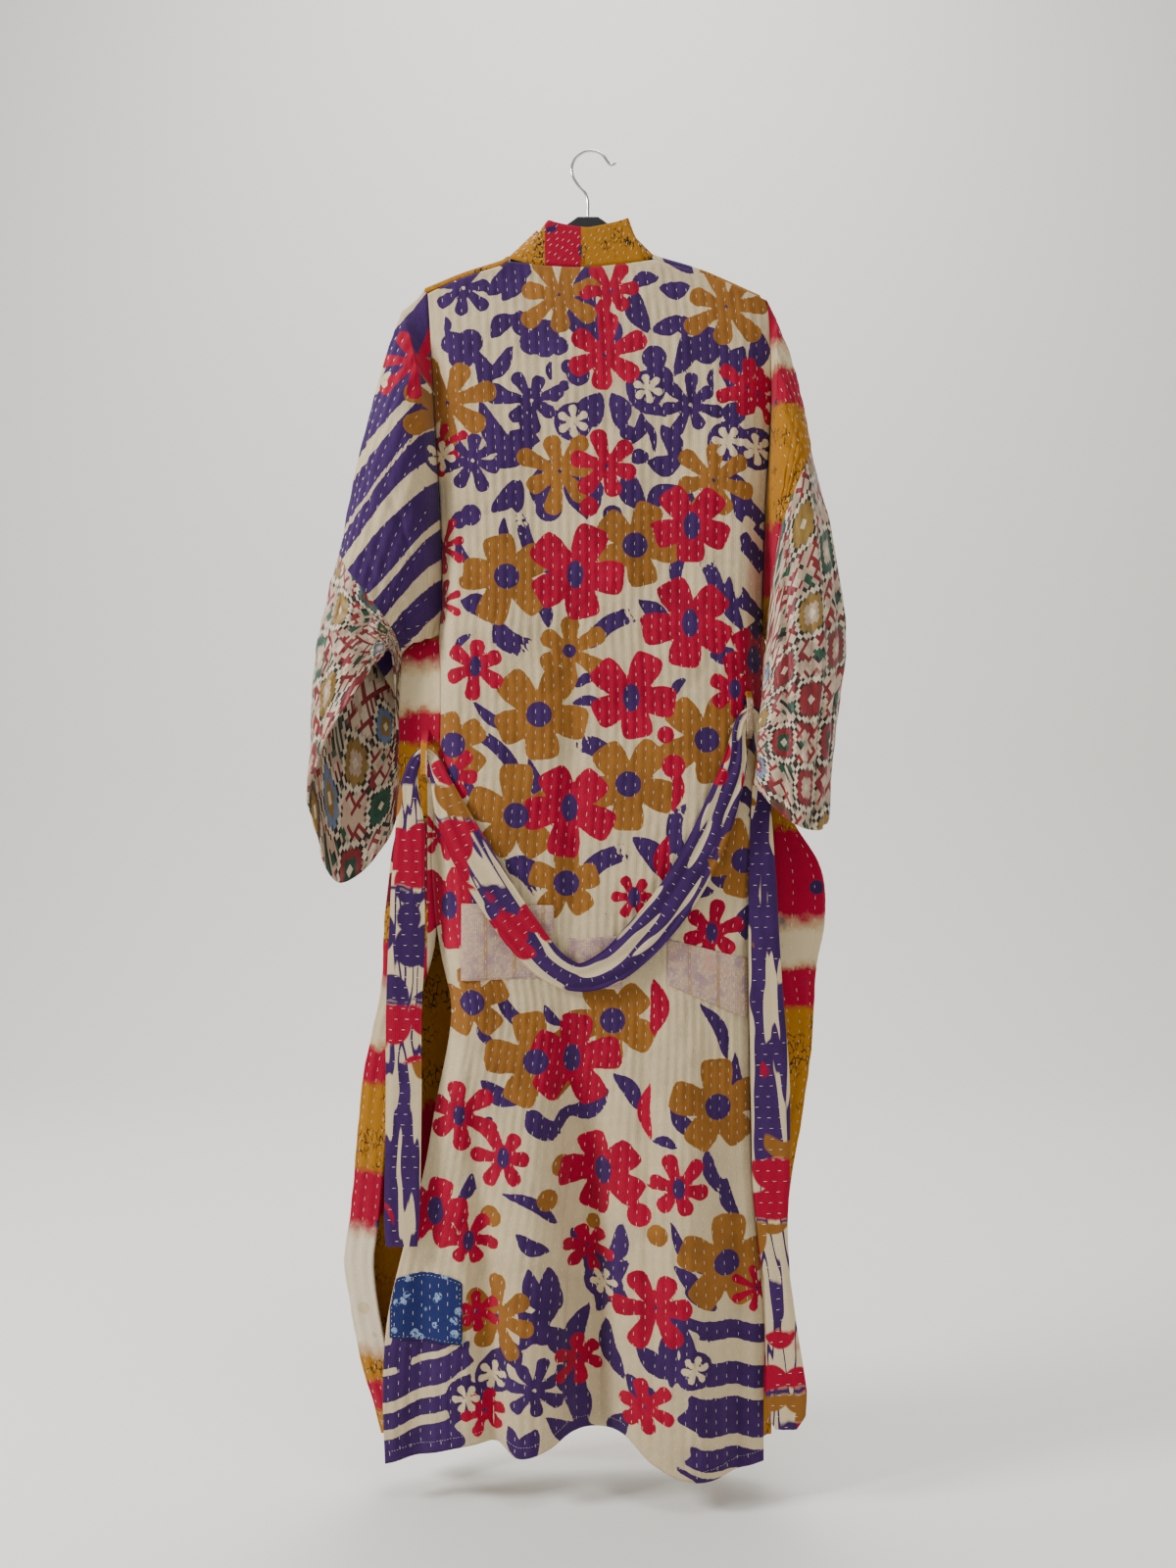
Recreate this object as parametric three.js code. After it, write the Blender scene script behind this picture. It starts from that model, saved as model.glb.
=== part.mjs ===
// A long patchwork robe of kimono cut, seen from its back, hanging on a slim hanger.
// Millimetres, +Z up. The origin is the seat inside the top of the hanger's hook.
// The garment's back faces -Y, and its left and right are the viewer's, -X and +X.
import * as THREE from 'three';

// Driving sizes
const clothWall = 2;
const thinClothWall = 1.2;
const seamGap = 0.3;
const quiltRise = 0.6;
const seatZ = 0;
const underarmZ = -565;
const slitTopZ = -885;
const armRows = 10;
const sideRows = 7;
const slitRows = 14;
const backColumns = 40;
const frontColumns = 13;

// Tables: each row becomes an object with the named columns
const table = (columns, rows) =>
  rows.map((row) => Object.fromEntries(columns.map((column, i) => [column, row[i]])));

// A smooth value of one column where the key column equals `at` (Catmull-Rom between rows)
function sample(rows, key, column, at) {
  const rising = rows[rows.length - 1][key] > rows[0][key];
  let i = 0;
  while (i < rows.length - 2 && (rising ? at > rows[i + 1][key] : at < rows[i + 1][key])) i += 1;
  const [a, b] = [rows[i], rows[i + 1]];
  const span = b[key] - a[key];
  const t = THREE.MathUtils.clamp((at - a[key]) / span, 0, 1);
  const slope = (from, to) => ((to[column] - from[column]) / (to[key] - from[key])) * span;
  const before = rows[Math.max(i - 1, 0)];
  const after = rows[Math.min(i + 2, rows.length - 1)];
  const [startSlope, endSlope] = [slope(before, b), slope(a, after)];
  const [t2, t3] = [t * t, t * t * t];
  return (2 * t3 - 3 * t2 + 1) * a[column] + (t3 - 2 * t2 + t) * startSlope
    + (3 * t2 - 2 * t3) * b[column] + (t3 - t2) * endSlope;
}

const vector = (x, y, z) => new THREE.Vector3(x, y, z);
const mix = THREE.MathUtils.lerp;
const smooth = THREE.MathUtils.smoothstep;

// Closed solid between two grids of points, outer and inner, joined round their rims
function wallGeometry(outer, inner, closedAround) {
  const [rows, columns] = [outer.length, outer[0].length];
  const points = [...outer.flat(), ...inner.flat()];
  const at = (layer, j, i) => layer * rows * columns + j * columns + (i % columns);
  const faces = [];
  const quad = (a, b, c, d) => faces.push(a, b, c, a, c, d);
  const last = closedAround ? columns : columns - 1;
  for (let j = 0; j < rows - 1; j += 1) {
    for (let i = 0; i < last; i += 1) {
      quad(at(0, j, i), at(0, j + 1, i), at(0, j + 1, i + 1), at(0, j, i + 1));
      quad(at(1, j, i), at(1, j, i + 1), at(1, j + 1, i + 1), at(1, j + 1, i));
    }
  }
  for (let i = 0; i < last; i += 1) {
    quad(at(0, 0, i), at(0, 0, i + 1), at(1, 0, i + 1), at(1, 0, i));
    quad(at(0, rows - 1, i), at(1, rows - 1, i), at(1, rows - 1, i + 1), at(0, rows - 1, i + 1));
  }
  for (let j = 0; j < rows - 1 && !closedAround; j += 1) {
    quad(at(0, j, 0), at(1, j, 0), at(1, j + 1, 0), at(0, j + 1, 0));
    const end = columns - 1;
    quad(at(0, j, end), at(0, j + 1, end), at(1, j + 1, end), at(1, j, end));
  }
  let volume = 0;
  for (let f = 0; f < faces.length; f += 3) {
    const [a, b, c] = [points[faces[f]], points[faces[f + 1]], points[faces[f + 2]]];
    volume += a.dot(vector(0, 0, 0).crossVectors(b, c));
  }
  if (volume < 0) faces.reverse();
  const geometry = new THREE.BufferGeometry();
  const numbers = new Float32Array(points.flatMap((p) => [p.x, p.y, p.z]));
  geometry.setAttribute('position', new THREE.BufferAttribute(numbers, 3));
  geometry.setIndex(faces);
  geometry.computeVertexNormals();
  return geometry;
}

// Unit normals of a grid of points by central differences; `facing` says which side is outside
function gridNormals(grid, closedAround, facing) {
  const [rows, columns] = [grid.length, grid[0].length];
  return grid.map((row, j) => row.map((point, i) => {
    const left = closedAround ? row[(i + columns - 1) % columns] : row[Math.max(i - 1, 0)];
    const right = closedAround ? row[(i + 1) % columns] : row[Math.min(i + 1, columns - 1)];
    const above = grid[Math.max(j - 1, 0)][i];
    const below = grid[Math.min(j + 1, rows - 1)][i];
    const across = right.clone().sub(left);
    const down = below.clone().sub(above);
    return across.cross(down).multiplyScalar(facing).normalize();
  }));
}

const moved = (grid, normals, distance) => grid.map((row, j) => row.map((point, i) => {
  const step = typeof distance === 'function' ? distance(j, i) : distance;
  return point.clone().addScaledVector(normals[j][i], step);
}));

// Sections of the back panel by height: both edges, both side folds and the middle's depth
const backSections = table(
  ['z', 'leftX', 'leftY', 'leftFoldX', 'leftFoldY', 'midY', 'rightFoldX', 'rightFoldY',
    'rightX', 'rightY'],
  [
    [-120, -190, -7, -150, -8, -8, 150, -8, 200, -7],
    [-200, -184, -10, -150, -18, -22, 165, -18, 210, -10],
    [-300, -179, -12, -150, -28, -31, 172, -28, 212, -12],
    [-430, -171, -12, -150, -34, -37, 176, -35, 205, -12],
    [-530, -170, -6, -153, -36, -39, 177, -37, 203, -6],
    [-565, -174, -1, -154, -37, -40, 177, -38, 204, -1],
    [-612, -170, -20, -152, -38, -41, 177, -38, 206, -2],
    [-700, -171, -22, -148, -38, -42, 178, -38, 208, -4],
    [-778, -178, -18, -145, -38, -42, 179, -38, 206, -5],
    [-816, -181, -16, -143, -38, -43, 180, -38, 202, -10],
    [-885, -177, -18, -143, -39, -44, 179, -38, 194, -20],
    [-930, -170, -24, -143, -40, -45, 170, -40, 185, -29],
    [-1001, -157, -30, -135, -42, -46, 165, -43, 184, -35],
    [-1111, -176, -29, -140, -42, -47, 165, -45, 185, -38],
    [-1185, -189, -29, -145, -42, -48, 165, -46, 187, -40],
    [-1270, -212, -30, -160, -43, -50, 170, -47, 194, -42],
    [-1352, -230, -32, -175, -44, -51, 175, -48, 201, -43],
    [-1430, -235, -34, -180, -45, -52, 175, -49, 200, -44],
    [-1525, -232, -36, -180, -46, -53, 175, -50, 200, -45],
  ],
);

// Folds of the back: a trough is a positive depth, a ridge toward the viewer a negative one
const backFolds = table(
  ['topX', 'topZ', 'lowX', 'lowZ', 'depth', 'halfWidth'],
  [
    [-17, -424, -17, -1000, 6, 16],
    [-14, -960, 10, -1500, 40, 30],
    [-70, -1000, -66, -1500, -12, 34],
    [96, -900, 118, -1500, -20, 46],
    [-128, -1060, -104, -1500, 14, 15],
    [-118, -700, -150, -1200, -7, 26],
    [-66, -250, -60, -560, 5, 30],
    [78, -230, 96, -620, 6, 34],
    [112, -620, 128, -900, -6, 24],
    [-178, -1150, -196, -1500, 9, 18],
    [160, -1050, 168, -1500, 8, 16],
  ],
);

// Top line of the back panel: shoulder seams and the neck seam; and its hem line
const backTopLine = table(['x', 'z'], [
  [-190, -168], [-146, -150], [-100, -135], [-94, -131], [-52, -136], [-11, -138], [40, -134],
  [76, -129], [82, -131], [134, -147], [200, -176],
]);
const backHemLine = table(['x', 'z'], [
  [-232, -1516], [-186, -1503], [-148, -1493], [-104, -1487], [-80, -1499], [-43, -1490],
  [-20, -1479], [10, -1482], [42, -1480], [70, -1504], [101, -1518], [137, -1521], [200, -1508],
]);

const foldDepth = (x, z) => backFolds.reduce((sum, fold) => {
  const along = (z - fold.topZ) / (fold.lowZ - fold.topZ);
  const fade = smooth(along, 0, 0.55) * (fold.lowZ > -1450 ? 1 - smooth(along, 0.7, 1) : 1);
  const away = (x - mix(fold.topX, fold.lowX, along)) / fold.halfWidth;
  return sum + fold.depth * fade * Math.exp(-away * away);
}, 0);

const backEdgeX = (side, z) => sample(backSections, 'z', `${side}X`, z);
const backEdgeY = (side, z) => sample(backSections, 'z', `${side}Y`, z);

// Depth of the back's face at a place: through its edge, fold and middle, then the folds
function backFaceY(x, z) {
  const value = (column) => sample(backSections, 'z', column, z);
  const profile = [
    { x: value('leftX'), y: value('leftY') },
    { x: value('leftFoldX'), y: value('leftFoldY') },
    { x: mix(value('leftFoldX'), value('rightFoldX'), 0.5), y: value('midY') },
    { x: value('rightFoldX'), y: value('rightFoldY') },
    { x: value('rightX'), y: value('rightY') },
  ];
  const fromEdge = Math.min(x - profile[0].x, profile[4].x - x);
  return sample(profile, 'x', 'y', x) + foldDepth(x, z) * smooth(fromEdge, 0, 25);
}

// Rows of a panel: from its top line to the underarm, to the top of the slit, to the hem
function rowHeight(topZ, hemZ, j) {
  if (j <= armRows) return mix(topZ, underarmZ, j / armRows);
  if (j <= armRows + sideRows) return mix(underarmZ, slitTopZ, (j - armRows) / sideRows);
  return mix(slitTopZ, hemZ, (j - armRows - sideRows) / slitRows);
}
const panelRows = armRows + sideRows + slitRows;

function backGrid() {
  const grid = [];
  for (let j = 0; j <= panelRows; j += 1) {
    const row = [];
    for (let i = 0; i <= backColumns; i += 1) {
      const share = i / backColumns;
      const topX = mix(backTopLine[0].x, backTopLine[backTopLine.length - 1].x, share);
      const hemX = mix(backHemLine[0].x, backHemLine[backHemLine.length - 1].x, share);
      const topZ = sample(backTopLine, 'x', 'z', topX);
      const z = rowHeight(topZ, sample(backHemLine, 'x', 'z', hemX), j);
      const x = mix(backEdgeX('left', z), backEdgeX('right', z), share);
      row.push(vector(x, backFaceY(x, z), z));
    }
    grid.push(row);
  }
  return grid;
}

// Sections of the front panels by height, one side at a time: the slit fold, the face and the
// edge that carries the neckband. `out` is measured from the middle, so both sides are positive.
const frontColumnsNames = ['z', 'foldOut', 'foldY', 'faceOut', 'faceY', 'openOut', 'openY'];
const frontSections = {
  left: table(frontColumnsNames, [
    [-160, 190, 7, 150, 8, 92, 8],
    [-200, 184, 16, 150, 20, 84, 16],
    [-300, 178, 20, 140, 30, 70, 26],
    [-430, 172, 20, 130, 36, 60, 34],
    [-530, 172, 14, 130, 38, 58, 38],
    [-565, 178, 8, 130, 39, 58, 39],
    [-610, 219, 5, 134, 40, 58, 40],
    [-650, 221, 4, 136, 40, 58, 40],
    [-700, 221, 3, 140, 40, 58, 41],
    [-778, 222, 4, 140, 41, 58, 42],
    [-822, 230, 4, 145, 42, 58, 43],
    [-885, 238, 4, 150, 43, 58, 44],
    [-980, 243, 4, 150, 45, 58, 45],
    [-1084, 262, 6, 160, 47, 58, 46],
    [-1241, 277, 8, 170, 50, 58, 48],
    [-1300, 284, 10, 170, 51, 58, 49],
    [-1400, 268, 12, 165, 52, 58, 50],
    [-1510, 240, 14, 160, 54, 58, 51],
  ]),
  right: table(frontColumnsNames, [
    [-160, 200, 7, 150, 8, 76, 8],
    [-200, 209, 16, 160, 20, 72, 16],
    [-300, 211, 20, 160, 30, 66, 26],
    [-430, 204, 20, 150, 36, 60, 34],
    [-530, 203, 14, 150, 38, 58, 38],
    [-565, 206, 8, 150, 39, 58, 39],
    [-626, 213, 4, 155, 40, 58, 40],
    [-700, 222, 4, 155, 40, 58, 41],
    [-778, 238, 4, 160, 41, 58, 42],
    [-835, 272, 4, 165, 42, 58, 43],
    [-899, 278, 4, 170, 43, 58, 44],
    [-960, 266, 4, 170, 45, 58, 45],
    [-1060, 259, 6, 165, 47, 58, 46],
    [-1150, 246, 8, 160, 48, 58, 47],
    [-1240, 233, 8, 155, 50, 58, 48],
    [-1350, 222, 10, 150, 51, 58, 49],
    [-1510, 214, 12, 150, 54, 58, 51],
  ]),
};
const shoulderWrap = table(['back', 'drop', 'depth'], [
  [1, 9, -7], [1, 3.5, -5.6], [0, 0, 0], [0, 3.5, 5.6],
]);
const frontTopDrop = 10;
const foldShare = 2 / frontColumns;
const frontHemZ = -1500;
const neckX = { left: -92, right: 76 };
const topWidth = backTopLine[backTopLine.length - 1].x - backTopLine[0].x;
const shoulderTopZ = (x) => sample(backTopLine, 'x', 'z', x) + shoulderWrap[0].drop + seamGap;

// Slit edge of a front panel below the slit's top, where it parts from the back panel's edge
function frontEdge(side, z) {
  const sign = side === 'left' ? -1 : 1;
  const sections = frontSections[side];
  const fold = sample(sections, 'z', 'foldOut', z);
  if (z > underarmZ) return { x: backEdgeX(side, z), y: -backEdgeY(side, z) };
  const apart = smooth(slitTopZ - z, 0, 140);
  const freeX = sign * (fold - 34);
  return {
    x: mix(backEdgeX(side, z), freeX, apart),
    y: mix(backEdgeY(side, z) + seamGap, -9, apart),
  };
}

// Point of a front panel: across from its side seam or slit edge, round the fold, to the opening
function frontPoint(side, z, share) {
  const sign = side === 'left' ? -1 : 1;
  const value = (column) => sample(frontSections[side], 'z', column, z);
  const edge = frontEdge(side, z);
  const turned = smooth(underarmZ - z, -60, 45);
  const profile = [
    { share: 0, x: edge.x, y: edge.y },
    {
      share: foldShare,
      x: sign * mix(value('foldOut') - 10, value('foldOut'), turned),
      y: mix((edge.y + value('faceY')) / 2, value('foldY'), turned),
    },
    { share: 0.45, x: sign * value('faceOut'), y: value('faceY') },
    { share: 1, x: sign * value('openOut'), y: value('openY') },
  ];
  const ripple = 5 * smooth(-z, 700, 1400) * Math.sin(share * 17 + z / 190);
  const held = smooth(share, foldShare, 0.4) * (1 - smooth(share, 0.75, 1));
  const y = sample(profile, 'share', 'y', share) + ripple * held;
  return vector(sample(profile, 'share', 'x', share), y, z);
}

function frontGrid(side) {
  const line = side === 'left' ? backTopLine : [...backTopLine].reverse();
  const openX = neckX[side];
  const edgeX = backEdgeX(side, line[0].z);
  const grid = [];
  for (const wrap of shoulderWrap) {
    const row = [];
    for (let i = 0; i <= frontColumns; i += 1) {
      const x = mix(edgeX, openX, i / frontColumns);
      row.push(vector(x, wrap.depth, shoulderTopZ(x) - wrap.drop));
    }
    grid.push(row);
  }
  for (let j = 0; j <= panelRows; j += 1) {
    const row = [];
    for (let i = 0; i <= frontColumns; i += 1) {
      const share = i / frontColumns;
      const x = mix(edgeX, openX, share);
      const z = rowHeight(shoulderTopZ(x) - frontTopDrop, frontHemZ, j);
      row.push(frontPoint(side, z, share));
    }
    grid.push(row);
  }
  return grid;
}

const panels = {};

// Direction into the cloth at a side seam, shared by the two panels that meet there
function seamInward(side, z) {
  const sign = side === 'left' ? -1 : 1;
  const backX = backEdgeX(side, z) - sign * 12;
  const backPoint = vector(backX, backFaceY(backX, z), z);
  const along = frontPoint(side, z, 0.1).sub(backPoint);
  return vector(-sign * along.y, sign * along.x, 0).normalize();
}

// Direction into the cloth at the armhole, shared by body and sleeve: toward the arm's hollow,
// round the shoulder wrap, and up and inward at the underarm
function armholeInward(side, point, row, wrapRow) {
  if (row === armRows) return vector(side === 'left' ? 1 : -1, 0, 1).normalize();
  if (wrapRow) return vector(0, -wrapRow.depth, wrapRow.drop - shoulderWrap[0].drop).normalize();
  return vector(0, -Math.sign(point.y), 0);
}
const miterStretch = 1.2;

// A panel's outer and inner points; the outer ones carry the rows of quilting, seams stay plain.
// `sides` names the side seam at its first and last column, where it has one.
function makePanel(name, grid, facing, thickness, quilted, sides) {
  const normals = gridNormals(grid, false, facing);
  const wrapRows = grid.length - 1 - panelRows;
  for (const [side, column] of sides) {
    grid.forEach((row, j) => {
      const point = row[column];
      const bodyRow = j - wrapRows;
      let inward = null;
      if (bodyRow <= armRows) {
        inward = armholeInward(side, point, bodyRow, bodyRow < 0 ? shoulderWrap[j] : null);
      }
      if (bodyRow > armRows && bodyRow <= armRows + sideRows) inward = seamInward(side, point.z);
      if (inward) normals[j][column] = inward.multiplyScalar(-miterStretch);
    });
  }
  const raise = (j, i) => (quilted && i % 2 === 1 && j > 0 ? quiltRise : 0);
  panels[name] = {
    plain: grid,
    normals,
    outer: moved(grid, normals, raise),
    inner: moved(grid, normals, -thickness),
  };
  return panels[name];
}

// Sleeves: six lines run down each sleeve, with a station at the cap, upper arm, elbow, join,
// lower sleeve and cuff. `under` is the fold below the arm, near and far face -Y and +Y.
const sleeveLines = {
  left: {
    top: [[-217, 0, -186], [-234, 2, -232], [-262, 4, -330], [-291, 2, -469], [-319, 0, -600],
      [-326, 0, -768]],
    nearOut: [[-196, -34, -262], [-216, -44, -300], [-246, -46, -385], [-274, -44, -494],
      [-295, -44, -580], [-308, -40, -702]],
    nearIn: [[-182, -34, -440], [-190, -44, -455], [-210, -48, -490], [-232, -44, -548],
      [-238, -42, -570], [-240, -38, -600]],
    under: [[-182, -2, -567], [-192, -4, -570], [-206, -8, -573], [-220, -12, -576],
      [-226, -12, -580], [-229, -12, -584]],
    farIn: [[-184, 32, -440], [-196, 38, -470], [-212, 42, -540], [-228, 44, -630],
      [-231, 40, -710], [-233, 34, -797]],
    farOut: [[-196, 32, -262], [-214, 38, -310], [-240, 42, -420], [-270, 44, -560],
      [-290, 44, -700], [-298, 40, -856]],
  },
  right: {
    top: [[219, -1, -194], [241, -4, -258], [259, -8, -352], [297, -18, -552],
      [284, -28, -680], [274, -32, -775]],
    nearOut: [[216, -36, -260], [232, -48, -310], [248, -54, -372], [272, -64, -570],
      [262, -74, -690], [256, -72, -790]],
    nearIn: [[213, -34, -440], [216, -48, -440], [218, -56, -450], [224, -72, -590],
      [222, -82, -690], [222, -81, -778]],
    under: [[208, -3, -568], [207, -14, -574], [204, -28, -590], [198, -50, -640],
      [191, -60, -690], [187, -59, -737]],
    farIn: [[214, 26, -440], [220, 26, -460], [226, 18, -500], [228, -14, -620],
      [220, -38, -690], [216, -40, -752]],
    farOut: [[214, 30, -260], [232, 32, -320], [248, 28, -400], [270, 10, -580],
      [262, -8, -690], [254, -12, -776]],
  },
};
const sleeveLineNames = ['top', 'nearOut', 'nearIn', 'under', 'farIn', 'farOut'];
const joinStation = { left: 3, right: 2 };
const lastStation = 5;

// First ring of a sleeve: the armhole edge of both panels, moved out by the seam gap
function armholeRing(side, layer) {
  const sign = side === 'left' ? -1 : 1;
  const back = panels.back_panel[layer];
  const front = panels[`front_${side}_panel`][layer];
  const backColumn = side === 'left' ? 0 : backColumns;
  const ring = [];
  for (let j = 0; j <= armRows; j += 1) ring.push(back[j][backColumn]);
  for (let j = armRows + shoulderWrap.length - 1; j >= 1; j -= 1) ring.push(front[j][0]);
  return ring.map((point) => point.clone().setX(point.x + sign * seamGap));
}

// Ring of a sleeve at a station: a closed curve through the six lines, its points spread as the
// armhole's are, half on the near side and half on the far side
function sleeveRing(side, station, count) {
  const lines = sleeveLines[side];
  const corners = sleeveLineNames.map((name) => {
    const curve = new THREE.CatmullRomCurve3(lines[name].map((p) => vector(...p)));
    return curve.getPoint(station / lastStation);
  });
  const loop = new THREE.CatmullRomCurve3(corners, true, 'centripetal');
  const ring = [];
  for (let i = 0; i < count; i += 1) {
    const near = i <= armRows;
    const half = near ? i / armRows / 2 : 0.5 + (i - armRows) / (count - armRows) / 2;
    ring.push(loop.getPoint(half % 1));
  }
  return ring;
}

function sleeveSolids(side, material, lowerMaterial) {
  const first = armholeRing(side, 'plain');
  const firstInner = armholeRing(side, 'inner');
  const join = joinStation[side];
  const facing = side === 'left' ? -1 : 1;
  const rings = (from, to, steps) => Array.from({ length: steps + 1 }, (_, k) =>
    sleeveRing(side, mix(from, to, k / steps), first.length));
  const upper = [first, ...rings(0, join, 2 * join + 1)];
  const lower = rings(join, lastStation, 2 * (lastStation - join) + 2);
  const whole = [...upper, ...lower.slice(1)];
  const normals = gridNormals(whole, true, facing);
  const upperNormals = normals.slice(0, upper.length);
  const lowerNormals = normals.slice(upper.length - 1);
  const quilt = (j, i) => (i % 2 === 1 && j > 0 && j < upper.length - 1 ? quiltRise : 0);
  const upperInner = moved(upper, upperNormals, -clothWall);
  upperInner[0] = firstInner;
  const shift = upper[upper.length - 1].map((point, i) =>
    lower[1][i].clone().sub(point).normalize().multiplyScalar(2 * seamGap));
  const lowerOuter = lower.map((ring, j) => ring.map((point, i) =>
    (j === 0 ? point.clone().add(shift[i]) : point)));
  const lowerInner = moved(lowerOuter, lowerNormals, -thinClothWall);
  return [
    mesh(`sleeve_${side}_upper`, wallGeometry(moved(upper, upperNormals, quilt), upperInner, true),
      material),
    mesh(`sleeve_${side}_lower`, wallGeometry(lowerOuter, lowerInner, true), lowerMaterial),
  ];
}

// Materials
const finish = (color, roughness, metalness = 0) =>
  new THREE.MeshStandardMaterial({ color, roughness, metalness });
const printedCotton = finish(0xb8a488, 0.85);
const printedSilk = finish(0x9c6a58, 0.6);
const bandCotton = finish(0xb4822a, 0.8);
const patchCotton = finish(0xc9ab9f, 0.85);
const bluePatchCotton = finish(0x232d64, 0.85);
const beltCotton = finish(0xa86a3a, 0.8);
const hangerBlack = finish(0x141414, 0.9);
const hookChrome = finish(0xc8c8c8, 0.25, 1);

function mesh(name, geometry, material) {
  const made = new THREE.Mesh(geometry, material);
  made.name = name;
  return made;
}

const panelMesh = (name, material) =>
  mesh(name, wallGeometry(panels[name].outer, panels[name].inner, false), material);

// Neckband: a strip beside the open edges of the panels. Each row of this table says how far
// the band's free edge lies from the seam, at a height on the front or over the neck.
const bandReach = table(['z', 'in', 'away', 'up'], [
  [-110, 28, 2, 36], [-150, 40, 3, 22], [-200, 46, 4, 14], [-300, 49, 3, 8], [-500, 50, 1, 2],
  [-1510, 50, 0, 0],
]);
const bandColumns = 4;
const neckTopLean = 5;
const neckLeanIn = { left: 26, right: 18 };
const bandHeight = 44;
const bandCornerRise = 4;

function bandRoute() {
  const route = [];
  const side = (name, sign) => {
    const { plain, inner } = panels[name];
    const rows = [];
    for (let j = 1; j < plain.length; j += 1) {
      const seam = plain[j][frontColumns];
      const wall = inner[j][frontColumns].clone().sub(seam);
      const reach = (column) => sample(bandReach, 'z', column, seam.z);
      const free = vector(-sign * reach('in'), reach('away'), reach('up'));
      rows.push({ seam, wall, free, shift: vector(-sign * seamGap, 0, 0) });
    }
    return rows;
  };
  const left = side('front_left_panel', -1).reverse();
  const right = side('front_right_panel', 1);
  const { plain, inner } = panels.back_panel;
  const columnAt = (x) => ((x - backTopLine[0].x) / topWidth) * backColumns;
  const neckStart = Math.ceil(columnAt(neckX.left)) + 1;
  const neckEnd = Math.floor(columnAt(neckX.right)) - 1;
  for (let i = neckStart; i <= neckEnd; i += 1) {
    const seam = plain[0][i];
    const share = (i - neckStart) / (neckEnd - neckStart);
    const rise = bandHeight + bandCornerRise * Math.abs(2 * share - 1);
    const free = vector(mix(neckLeanIn.left, -neckLeanIn.right, share), -neckTopLean, rise);
    const wall = inner[0][i].clone().sub(seam);
    route.push({ seam, wall, free, shift: vector(0, 0, seamGap) });
  }
  return [...left, ...route, ...right];
}

function neckband() {
  const route = bandRoute();
  const outer = [];
  const inner = [];
  for (const { seam, wall, free, shift } of route) {
    const outerRow = [];
    const innerRow = [];
    for (let i = 0; i <= bandColumns; i += 1) {
      const share = i / bandColumns;
      const point = seam.clone().add(shift).addScaledVector(free, share);
      outerRow.push(point);
      innerRow.push(point.clone().add(wall));
    }
    outer.push(outerRow);
    inner.push(innerRow);
  }
  return mesh('neckband', wallGeometry(outer, inner, false), bandCotton);
}

// Patches: parts of the back's own surface, moved out; the corners' heights are named
const patches = table(
  ['name', 'fromX', 'toX', 'atZ', 'topLeftZ', 'topRightZ', 'lowLeftZ', 'lowRightZ'],
  [
    ['patch_pale_left', -143, -40, -915, -874, -876, -962, -958],
    ['patch_pale_center', -23, 38, -950, -914, -911, -968, -972],
    ['patch_mauve_right', 92, 182, -990, -914, -936, -966, -1006],
    ['patch_blue_left', -226, -144, -1330, -1304, -1298, -1372, -1376],
  ],
);
const patchLift = 0.8;
const patchWall = 1;
const patchRows = 4;

// Point of the back's own faceted surface, on a grid column at a height
function backColumnPoint(column, z) {
  const { outer, normals } = panels.back_panel;
  let j = 0;
  while (j < panelRows - 1 && outer[j + 1][column].z > z) j += 1;
  const [above, below] = [outer[j][column], outer[j + 1][column]];
  const t = (above.z - z) / (above.z - below.z);
  return {
    point: above.clone().lerp(below, t),
    normal: normals[j][column].clone().lerp(normals[j + 1][column], t).normalize(),
  };
}

function patchMesh(patch) {
  const [left, right] = [backEdgeX('left', patch.atZ), backEdgeX('right', patch.atZ)];
  const columnAt = (x) => Math.round(((x - left) / (right - left)) * backColumns);
  const from = Math.max(columnAt(patch.fromX), 0);
  const to = Math.min(columnAt(patch.toX), backColumns);
  const base = [];
  const normals = [];
  for (let k = 0; k <= patchRows; k += 1) {
    const places = [];
    for (let i = from; i <= to; i += 1) {
      const share = (i - from) / (to - from);
      const topZ = mix(patch.topLeftZ, patch.topRightZ, share);
      const lowZ = mix(patch.lowLeftZ, patch.lowRightZ, share);
      places.push(backColumnPoint(i, mix(topZ, lowZ, k / patchRows)));
    }
    base.push(places.map((place) => place.point));
    normals.push(places.map((place) => place.normal));
  }
  const outer = moved(base, normals, patchLift + patchWall);
  const inner = moved(base, normals, patchLift);
  const material = patch.name === 'patch_blue_left' ? bluePatchCotton : patchCotton;
  return mesh(patch.name, wallGeometry(outer, inner, false), material);
}

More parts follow.
